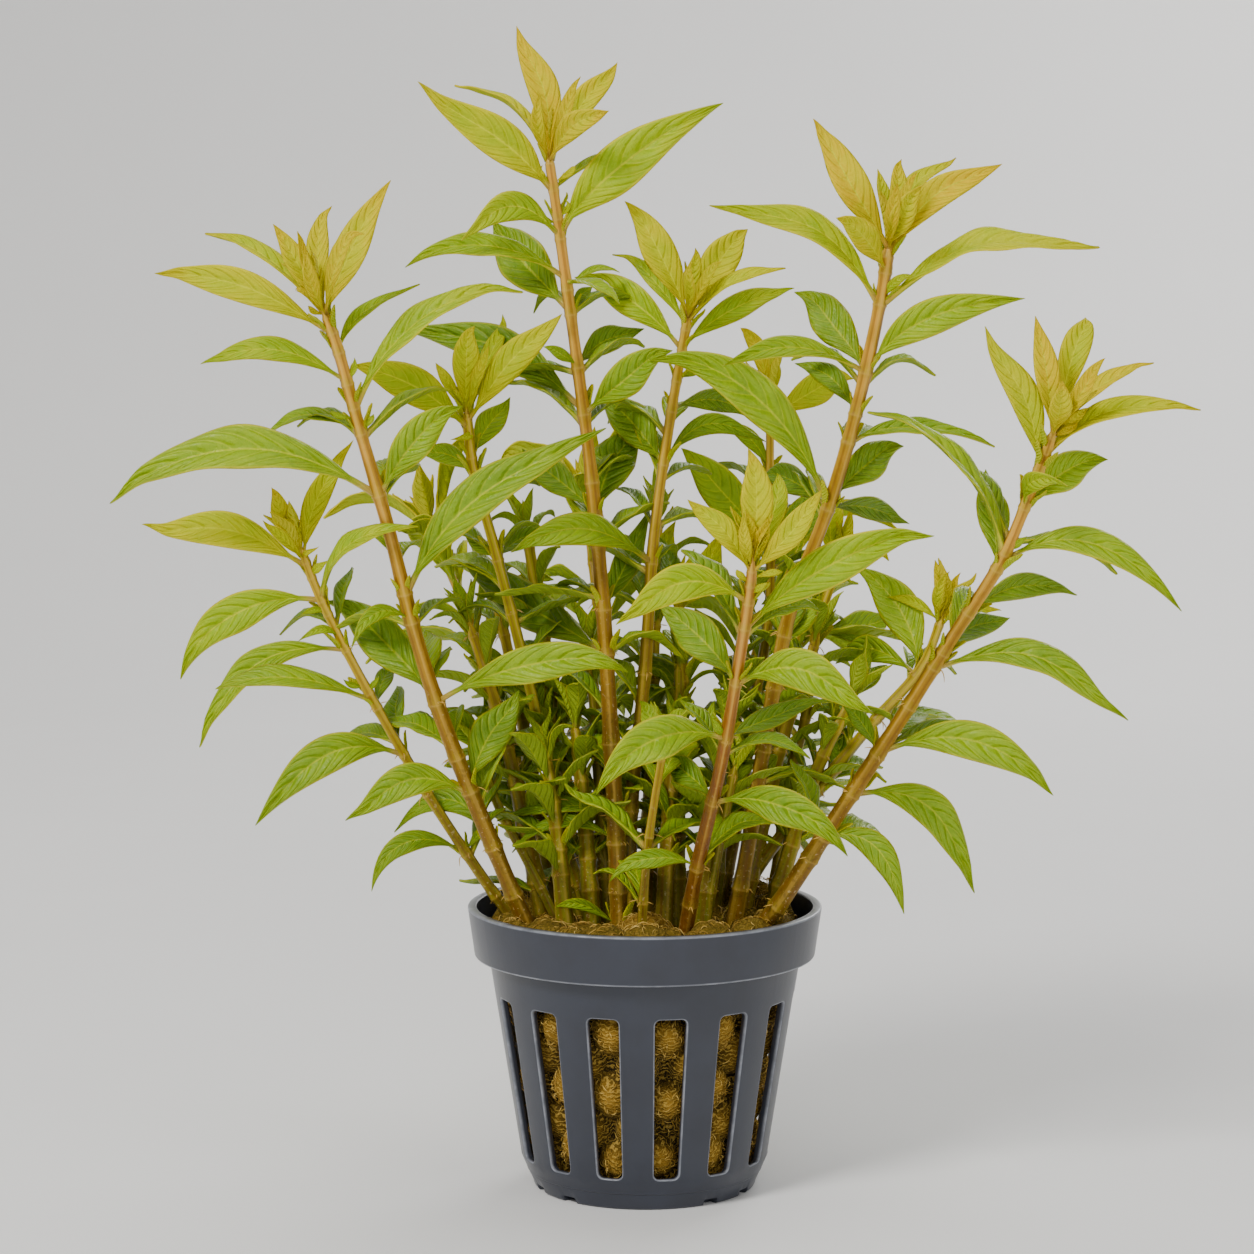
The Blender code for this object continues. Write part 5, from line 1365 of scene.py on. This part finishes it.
def stem_material():
    """Bark: tan above and browner below, green or reddish by stem, paler at its joints, its rib
    crests paler, partly own colour and partly painted highlight, and its furrows darkened with
    painted shade.
    """
    material, net = new_material("stem_bark", Specular_IOR_Level=0.3,
                                 Specular_Tint=(1.0, 0.94, 0.72, 1.0))
    streak = net.mottling(1100.0, (1.0, 1.0, 0.10))
    specks = net.texture("Noise", {"Scale": 1900.0, "Detail": 2.0})
    grown, hue, crest = (net.value_of(name) for name in ("grown", "hue", "crest"))
    tan = net.ramp(net.linear(net.mottling(260.0), 0.2, grown), (
        (0.0, 90, 66, 2), (0.35, 134, 98, 4), (0.7, 164, 118, 10), (1.0, 214, 153, 54)))
    green = net.ramp(grown, ((0.0, 104, 108, 2), (0.5, 138, 140, 2), (1.0, 188, 176, 6)))
    red = net.ramp(grown, ((0.0, 100, 50, 14), (0.6, 140, 76, 22), (1.0, 210, 142, 66)))
    shade = net.mix(net.rise(hue, 0.0, 0.5), green, tan)
    low = net.rise(grown, 0.05, 0.55, 1.0, 0.12)
    shade = net.layers(
        net.mix(net.rise(hue, 0.5, 1.0), shade, red),
        ((162, 150, 12), net.value_of("node"), net.rise(grown, 0.2, 1.0, 0.3, 0.6)),
        ((206, 160, 34), streak, net.rise(grown, 0.0, 1.0, 0.16, 0.32)),
        # The rib crests are paler, partly their own colour and partly a painted highlight; the
        # furrows between them are darkened with painted shade.
        ((232, 188, 84), net.rise(crest, 0.2, 1.0), net.rise(grown, 0.0, 1.0, 0.25, 0.55)),
        ((116, 70, 4), net.rise(crest, -1.0, -0.1, 1.0, 0.0), 0.62),
        ((216, 196, 140), net.rise(specks, 0.62, 0.72), low, 0.36),
        ((70, 48, 24), net.rise(specks, 0.42, 0.34), low, 0.35),
        ((218, 176, 86), net.value_of("ring"), 0.28))
    height = net.math("ADD", streak, net.times(specks, 1.2))
    net.surface(Base_Color=shade, Roughness=net.linear(streak, 0.15, 0.30),
                Normal=net.bump(height, 0.4, 0.06))
    return material


def pot_material():
    """Satin slate plastic, a little lighter along its thin edges, its lip and its band's ledge: a
    painted highlight.
    """
    material, net = new_material("slate_plastic", Specular_IOR_Level=0.5)
    cloud = net.mottling(120.0)
    highlight_strength = net.linear(net.mottling(420.0), 0.35, 0.36)
    shade = net.layers(net.mix(cloud, colour(46, 49, 59), colour(50, 54, 65)),
                       # Painted highlight: the thin edges, the lip and the ledge are lightened to
                       # pale grey, as if catching the lamps.
                       ((164, 168, 178), net.value_of("painted_highlight"), highlight_strength))
    grain = net.texture("Noise", {"Scale": 2600.0, "Detail": 3.0})
    net.surface(Base_Color=shade, Roughness=net.linear(cloud, 0.03, 0.29),
                Normal=net.bump(grain, 0.22, 0.04))
    return material


def wool_material():
    """Golden-brown felted wool, darkened toward dark olive with painted shade where it lies deep
    between its balls.
    """
    material, net = new_material("wool_felt", Specular_IOR_Level=0.2)
    felt = net.texture("Noise", {"Scale": 2400.0, "Detail": 4.0, "Distortion": 1.5})
    curls = net.texture("Wave", {"Scale": 620.0, "Distortion": 9.0, "Detail": 2.0,
                                 "Detail Scale": 1.7}, wave_type="RINGS")
    olive = net.value_of("olive")
    # The ramp darkens the wool toward near black: painted shade between the balls on its side.
    depth = net.linear(net.mottling(300.0), 0.22, net.value_of("hollow"))
    shade = net.layers(
        net.ramp(depth, ((0.0, 160, 122, 38), (0.3, 130, 98, 26), (0.6, 84, 64, 16),
                         (1.0, 34, 27, 9))),
        ((92, 82, 14), olive, 0.55),
        ((188, 148, 52), net.rise(felt, 0.45, 0.7, 0.0, 0.35)),
        ((218, 180, 84), net.rise(curls, 0.62, 0.95), net.linear(olive, -0.38, 0.52)))
    net.surface(Base_Color=shade, Roughness=net.linear(felt, 0.15, 0.80),
                Normal=net.bump(net.linear(curls, 0.8, felt), 0.8, 0.25))
    return material


def fibre_material():
    """The wool's loose strands, from amber to pale straw."""
    material, net = new_material("wool_strands", Specular_IOR_Level=0.3)
    cloud = net.mottling(500.0)
    tone = net.linear(cloud, 0.2, net.value_of("pale"))
    net.surface(Base_Color=net.ramp(tone, ((0.0, 120, 88, 24), (0.5, 178, 138, 48),
                                           (1.0, 232, 196, 104))),
                Roughness=net.linear(cloud, 0.15, 0.55))
    return material


def about(along, turn, side=1, across=None):
    """A direction square to a stem, turned about it from a first one or from a level one."""
    if across is None:
        across = unit(np.cross(along, (0.0, 1.0, 0.0)))
    return across * side * math.cos(turn) + np.cross(along, across) * math.sin(turn)


def add_sprig_leaf(shell, start, out, along, shape, detail, draw, **values):
    """A leaf of a joint: it reaches out and up from its stem, and its tip droops."""
    long, wide, lift, droop = shape
    reach = unit(out + along * lift) * long
    up = np.array((0.0, 0.0, 1.0))
    middle = start + reach * 0.5 + up * 0.3 * droop
    tip = start + reach - up * droop
    add_leaf(shell, start, middle, tip, wide, unit(along - out * 0.5), detail, draw,
             tint=draw.uniform(0, 1), **values)


def add_buds(shell, line, joints, draw):
    """Tiny blunt folded leaves that stand close to the stem in the joints' corners."""
    for index in parted(joints):
        along = line.tangents[index]
        for side in (-1, 1):
            if draw.uniform() < BUDS_MISSING:
                continue
            out = about(along, draw.uniform(-BUD_TURN, BUD_TURN), side)
            long = draw.uniform(*BUD_LONG) * MM
            shape = (long, long * BUD_SLENDER, draw.uniform(*BUD_LIFT), 0.0)
            start = line.points[index] + out * line.radii[index] * 0.8
            add_sprig_leaf(shell, start, out, along, shape, BUD_DETAIL, draw, taper=BUD_TAPER,
                           age=BUD_AGE)


def add_crown(shell, line, draw):
    """A tuft of narrow upright leaves round the stem's top, still half folded."""
    along = line.tangents[-1]
    for i in range(CROWN_LEAVES):
        out = about(along, i * GOLDEN_TURN + draw.uniform(-CROWN_TURN, CROWN_TURN))
        if line.points[-1, 1] < FRONT_MOST:
            out[1] = abs(out[1])
        long = draw.uniform(*CROWN_LONG) * MM
        shape = (long, long * draw.uniform(*CROWN_SLENDER), draw.uniform(*CROWN_LIFT), 0.0)
        start = line.points[-1] - along * draw.uniform(0.2, 1.6) * MM
        add_sprig_leaf(shell, start, out, along, shape, CROWN_DETAIL, draw, fold=CROWN_FOLD,
                       age=line.elder)


def add_rootlets(shell, line, index, draw):
    """Short pale hooked roots that stand out of a stem's joint."""
    steps = np.linspace(0, 1, ROOTLET_STEPS)[:, None]
    along = line.tangents[index]
    for _ in range(ROOTLETS_EACH):
        out = about(along, draw.uniform(0, 2 * np.pi))
        bend = np.cross(along, out) * draw.uniform(-0.6, 0.6) - along * draw.uniform(0, 0.8)
        start = line.points[index] + out * line.radii[index] * 0.9
        path = start + (out * steps + bend * steps ** 2) * draw.uniform(*ROOTLET_LONG)
        add_fibre(shell, path, ROOTLET_RADIUS, grown=1.0, ring=3.0, hue=0.3, crest=1.0, node=0.0)


def add_inner_leaves(shell, line, count, draw):
    """Older leaves low on a stem that turn to the back of the bunch."""
    for share in np.linspace(*INNER_REACH, count):
        index = int(share * (len(line.points) - 1))
        along = line.tangents[index]
        for _ in range(INNER_EACH):
            turn = draw.uniform(0.1, math.pi - 0.1)
            out = np.array((math.cos(turn), math.sin(turn), 0.0))
            out = unit(out - along * (out @ along))
            long = draw.uniform(*INNER_LONG) * MM
            shape = (long, long * draw.uniform(*INNER_SLENDER), draw.uniform(*INNER_LIFT),
                     draw.uniform(*INNER_DROOP) * MM)
            start = line.points[index] + out * line.radii[index] * 0.5
            add_sprig_leaf(shell, start, out, along, shape, INNER_DETAIL, draw,
                           age=draw.uniform(*INNER_AGE))


def shoot_line(foot, top, radii):
    """The line of a shoot: it leans from its foot to its top and bows upwards half way."""
    foot = np.array((*foot, 0.0)) * MM + (0.0, 0.0, WOOL_TOP + GAP)
    head = np.array(top) * MM
    bow = (foot + head) / 2 + np.array((0.0, 0.0, SHOOT_BOW))
    foot = foot_point(foot, bow, radii[0])
    return StemLine(np.array((foot, bow, head)), *radii)


def add_pair(shell, line, share, turn, shape, detail, age, draw):
    """Adds two leaves opposite each other at a share of a shoot's height."""
    last = len(line.points) - 1
    index = min(int(share * last), last)
    along = line.tangents[index]
    across = unit(np.array((along[2], along[2], -along[0] - along[1])))
    across = about(along, turn, 1, across)
    for side in (-1, 1):
        add_sprig_leaf(shell, line.points[index], across * side, along, shape, detail, draw,
                       age=age)
    return index


def make_shoot(name, row, leaf_look, bark, draw):
    """A shoot behind: crossed pairs of long leaves, shorter pairs between, and a crown."""
    foot, top, pairs = row
    line = shoot_line(foot, top, SHOOT_RADIUS)
    leaves = Shell()
    stalk = Shell()
    joints = []
    for pair in range(pairs):
        share = SHOOT_FIRST_PAIR
        share += (SHOOT_LAST_PAIR - SHOOT_FIRST_PAIR) * (pair + 1) / pairs
        lift = 0.25 + 0.9 * (pair + 1) / pairs
        shape = (SHOOT_LEAF_LONG, SHOOT_LEAF_WIDE, lift, SHOOT_LEAF_DROOP)
        joints.append(add_pair(leaves, line, share, SHOOT_FROM + SHOOT_TURN * pair, shape,
                               SHOOT_DETAIL, 0.74 - 0.13 * (pair + 1), draw))
        shape = (0.62 * SHOOT_LEAF_LONG, 0.8 * SHOOT_LEAF_WIDE, lift, 0.5 * SHOOT_LEAF_DROOP)
        joints.append(add_pair(leaves, line, share - SHOOT_BETWEEN,
                               SHOOT_FROM_BETWEEN + SHOOT_TURN * pair, shape,
                               SMALL_DETAIL, 0.8 - 0.12 * (pair + 1), draw))
    for ring in range(SHOOT_CROWN):
        shape = ((11.0 - 2.5 * ring) * MM, (3.4 - 0.7 * ring) * MM, 1.2 + 1.3 * ring, 0.0)
        joints.append(add_pair(leaves, line, 0.985, 1.1 + 1.1 * ring, shape, SMALL_DETAIL,
                               0.14 - 0.05 * ring, draw))
    add_buds(leaves, line, joints, draw)
    add_stalk(stalk, line, joints, SHOOT_HUE, draw)
    return leaves.build(name + "_leaves", leaf_look), stalk.build(name + "_stalk", bark)


def make_sprigs(leaf_look, bark, draw):
    """The thin sprigs inside the bunch, all their leaves in one piece and stalks in one."""
    leaves = Shell()
    stalks = Shell()
    for foot, top in SPRIGS:
        line = shoot_line(foot, top, SPRIG_RADIUS)
        line.elder = SPRIG_AGE
        joints = []
        first = draw.uniform(0, 3)
        for pair in range(SPRIG_PAIRS):
            share = SPRIG_FIRST_PAIR
            share += (SPRIG_LAST_PAIR - SPRIG_FIRST_PAIR) * pair / (SPRIG_PAIRS - 1)
            long = draw.uniform(*SPRIG_LONG) * MM * (1 - 0.35 * share ** 3)
            shape = (long, long * draw.uniform(*SPRIG_SLENDER), 0.2 + 0.9 * share,
                     draw.uniform(*SPRIG_DROOP) * MM)
            joints.append(add_pair(leaves, line, share, first + SHOOT_TURN * pair, shape,
                                   INNER_DETAIL, 0.80 - 0.34 * share, draw))
        add_buds(leaves, line, joints, draw)
        add_crown(leaves, line, draw)
        add_stalk(stalks, line, joints, draw.uniform(0.0, SPRIG_HUE), draw)
    return leaves.build("inner_sprig_leaves", leaf_look), stalks.build("inner_sprig_stalks", bark)


def dress(piece, slot, *nodes):
    """Fixes a finished piece to the part and hides the solids that it stands for."""
    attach(piece, BODY)
    if nodes:
        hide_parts(*nodes)


def dress_stems(leaf_look, bark):
    """Each stem seen from the front, its own blades, and its small leaves and buds."""
    for number, (name, row) in enumerate(STEMS.items()):
        draw = np.random.default_rng((RANDOM_SEED, number))
        line = seen_stem_line(row)
        line.elder = STEM_AGES.get(name, 0.0)
        joints = []
        for leaf_name, leaf in BLADES.get(name, {}).items():
            shell = Shell()
            joints.append(add_seen_leaf(shell, line, leaf, BLADE_DETAIL, draw, True))
            node = name + "_" + leaf_name
            dress(shell.build(node + "_blade", leaf_look), "leaf", node)
        shell = Shell()
        for leaf in SMALL_LEAVES[name]:
            joints.append(add_seen_leaf(shell, line, leaf, SMALL_DETAIL, draw, False))
        add_buds(shell, line, joints, draw)
        add_crown(shell, line, draw)
        add_inner_leaves(shell, line, INNER_PAIRS.get(name, INNER_PAIRS_ELSE), draw)
        node = name + "_stem"
        dress(shell.build(name + "_small_leaves", leaf_look), "stem", node)
        shell = Shell()
        add_stalk(shell, line, joints, STEM_HUES[name], draw)
        dress(shell.build(name + "_stalk", bark), "stem", node)


def make_stage():
    """A pale floor that curves up behind the pot, in one smooth sheet."""
    turn = np.linspace(0, math.pi / 2, 24)
    run = np.concatenate(([-SWEEP_FRONT], SWEEP_BACK + SWEEP_BEND * np.sin(turn),
                          [SWEEP_BACK + SWEEP_BEND]))
    rise = np.concatenate(([0.0], SWEEP_BEND * (1 - np.cos(turn)), [SWEEP_HIGH]))
    side = np.array((-SWEEP_WIDE, SWEEP_WIDE))
    grid = np.stack(np.broadcast_arrays(side[None, :], run[:, None], rise[:, None]), -1)
    material, net = new_material("floor_paper", Roughness=0.9)
    net.surface(Base_Color=net.mix(net.mottling(4.0), colour(243, 242, 240),
                                   colour(246, 245, 243)))
    mesh = bpy.data.meshes.new("floor_sweep")
    mesh.from_pydata(grid.reshape(-1, 3).tolist(), [], grid_quads(len(run), 2, False).tolist())
    mesh.shade_smooth()
    place_object("floor_sweep", mesh, material)


def point_at(thing, place, target):
    """Puts a light or the camera at a place and turns it to look at a target."""
    thing.location = place
    place = np.array(thing.location)
    forward = unit(np.asarray(target) - place)
    right = unit(np.cross(forward, (0.0, 0.0, 1.0)))
    turn = np.eye(4)
    turn[:3] = np.stack((right, np.cross(right, forward), -forward, place), -1)
    thing.matrix_world = Matrix(turn.tolist())


def make_lights():
    """Large soft lights round the bunch, and a pale even surround."""
    for name, (place, size, power, shade) in LIGHTS.items():
        light = bpy.data.lights.new(name, "AREA")
        light.shape = "DISK"
        light.size = size
        light.energy = power
        light.color = shade
        point_at(place_object(name, light), place, LIGHT_TARGET)
    world = bpy.data.worlds.new("studio")
    world.use_nodes = True
    back = world.node_tree.nodes["Background"]
    back.inputs["Color"].default_value = (1.0, 1.0, 1.0, 1.0)
    back.inputs["Strength"].default_value = SURROUND
    bpy.context.scene.world = world


def make_camera():
    """The camera of the reference view."""
    camera = bpy.data.cameras.new("reference_view")
    camera.sensor_width = SENSOR
    camera.lens = VIEW_FOCAL / VIEW_FRAME * SENSOR
    eye = place_object("reference_view", camera)
    point_at(eye, VIEW_FROM, VIEW_TO)
    bpy.context.scene.camera = eye


build_groups()
leaf_look = leaf_material(
    "leaf_green_gold",
    ((0.0, 222, 188, 0), (0.07, 216, 196, 0), (0.16, 198, 196, 0), (0.28, 178, 190, 0),
     (0.42, 148, 178, 2), (0.65, 116, 152, 4), (0.88, 90, 130, 8), (1.0, 70, 106, 10)),
    (220, 222, 30), (234, 198, 0))
shoot_look = leaf_material(
    "shoot_leaf_green",
    ((0.0, 212, 184, 0), (0.15, 188, 190, 0), (0.4, 144, 172, 2), (0.7, 110, 146, 6),
     (1.0, 74, 112, 10)),
    (208, 212, 30), (222, 176, 0))
bark = stem_material()

dress(make_pot(pot_material()), "pot_plastic", "net_pot")

wool_draw = np.random.default_rng(RANDOM_SEED)
balls = wool_balls(wool_draw)
lumps = top_lumps(wool_draw)
strands = fibre_material()
for piece in (make_wool(balls, lumps, wool_material(), wool_draw),
              make_side_fibres(balls, strands, wool_draw),
              make_top_fibres(lumps, strands, wool_draw)):
    dress(piece, "growing_wool", "wool_plug")

dress_stems(leaf_look, bark)
for number, (name, row) in enumerate(BACK_SHOOTS.items()):
    shoot_draw = np.random.default_rng((RANDOM_SEED, SHOOT_SEED + number))
    for piece in make_shoot(name, row, shoot_look, bark, shoot_draw):
        dress(piece, "rear_shoot", name)

for piece in make_sprigs(shoot_look, bark, np.random.default_rng((RANDOM_SEED, SPRIG_SEED))):
    dress(piece, "rear_shoot")

make_stage()
make_lights()
make_camera()
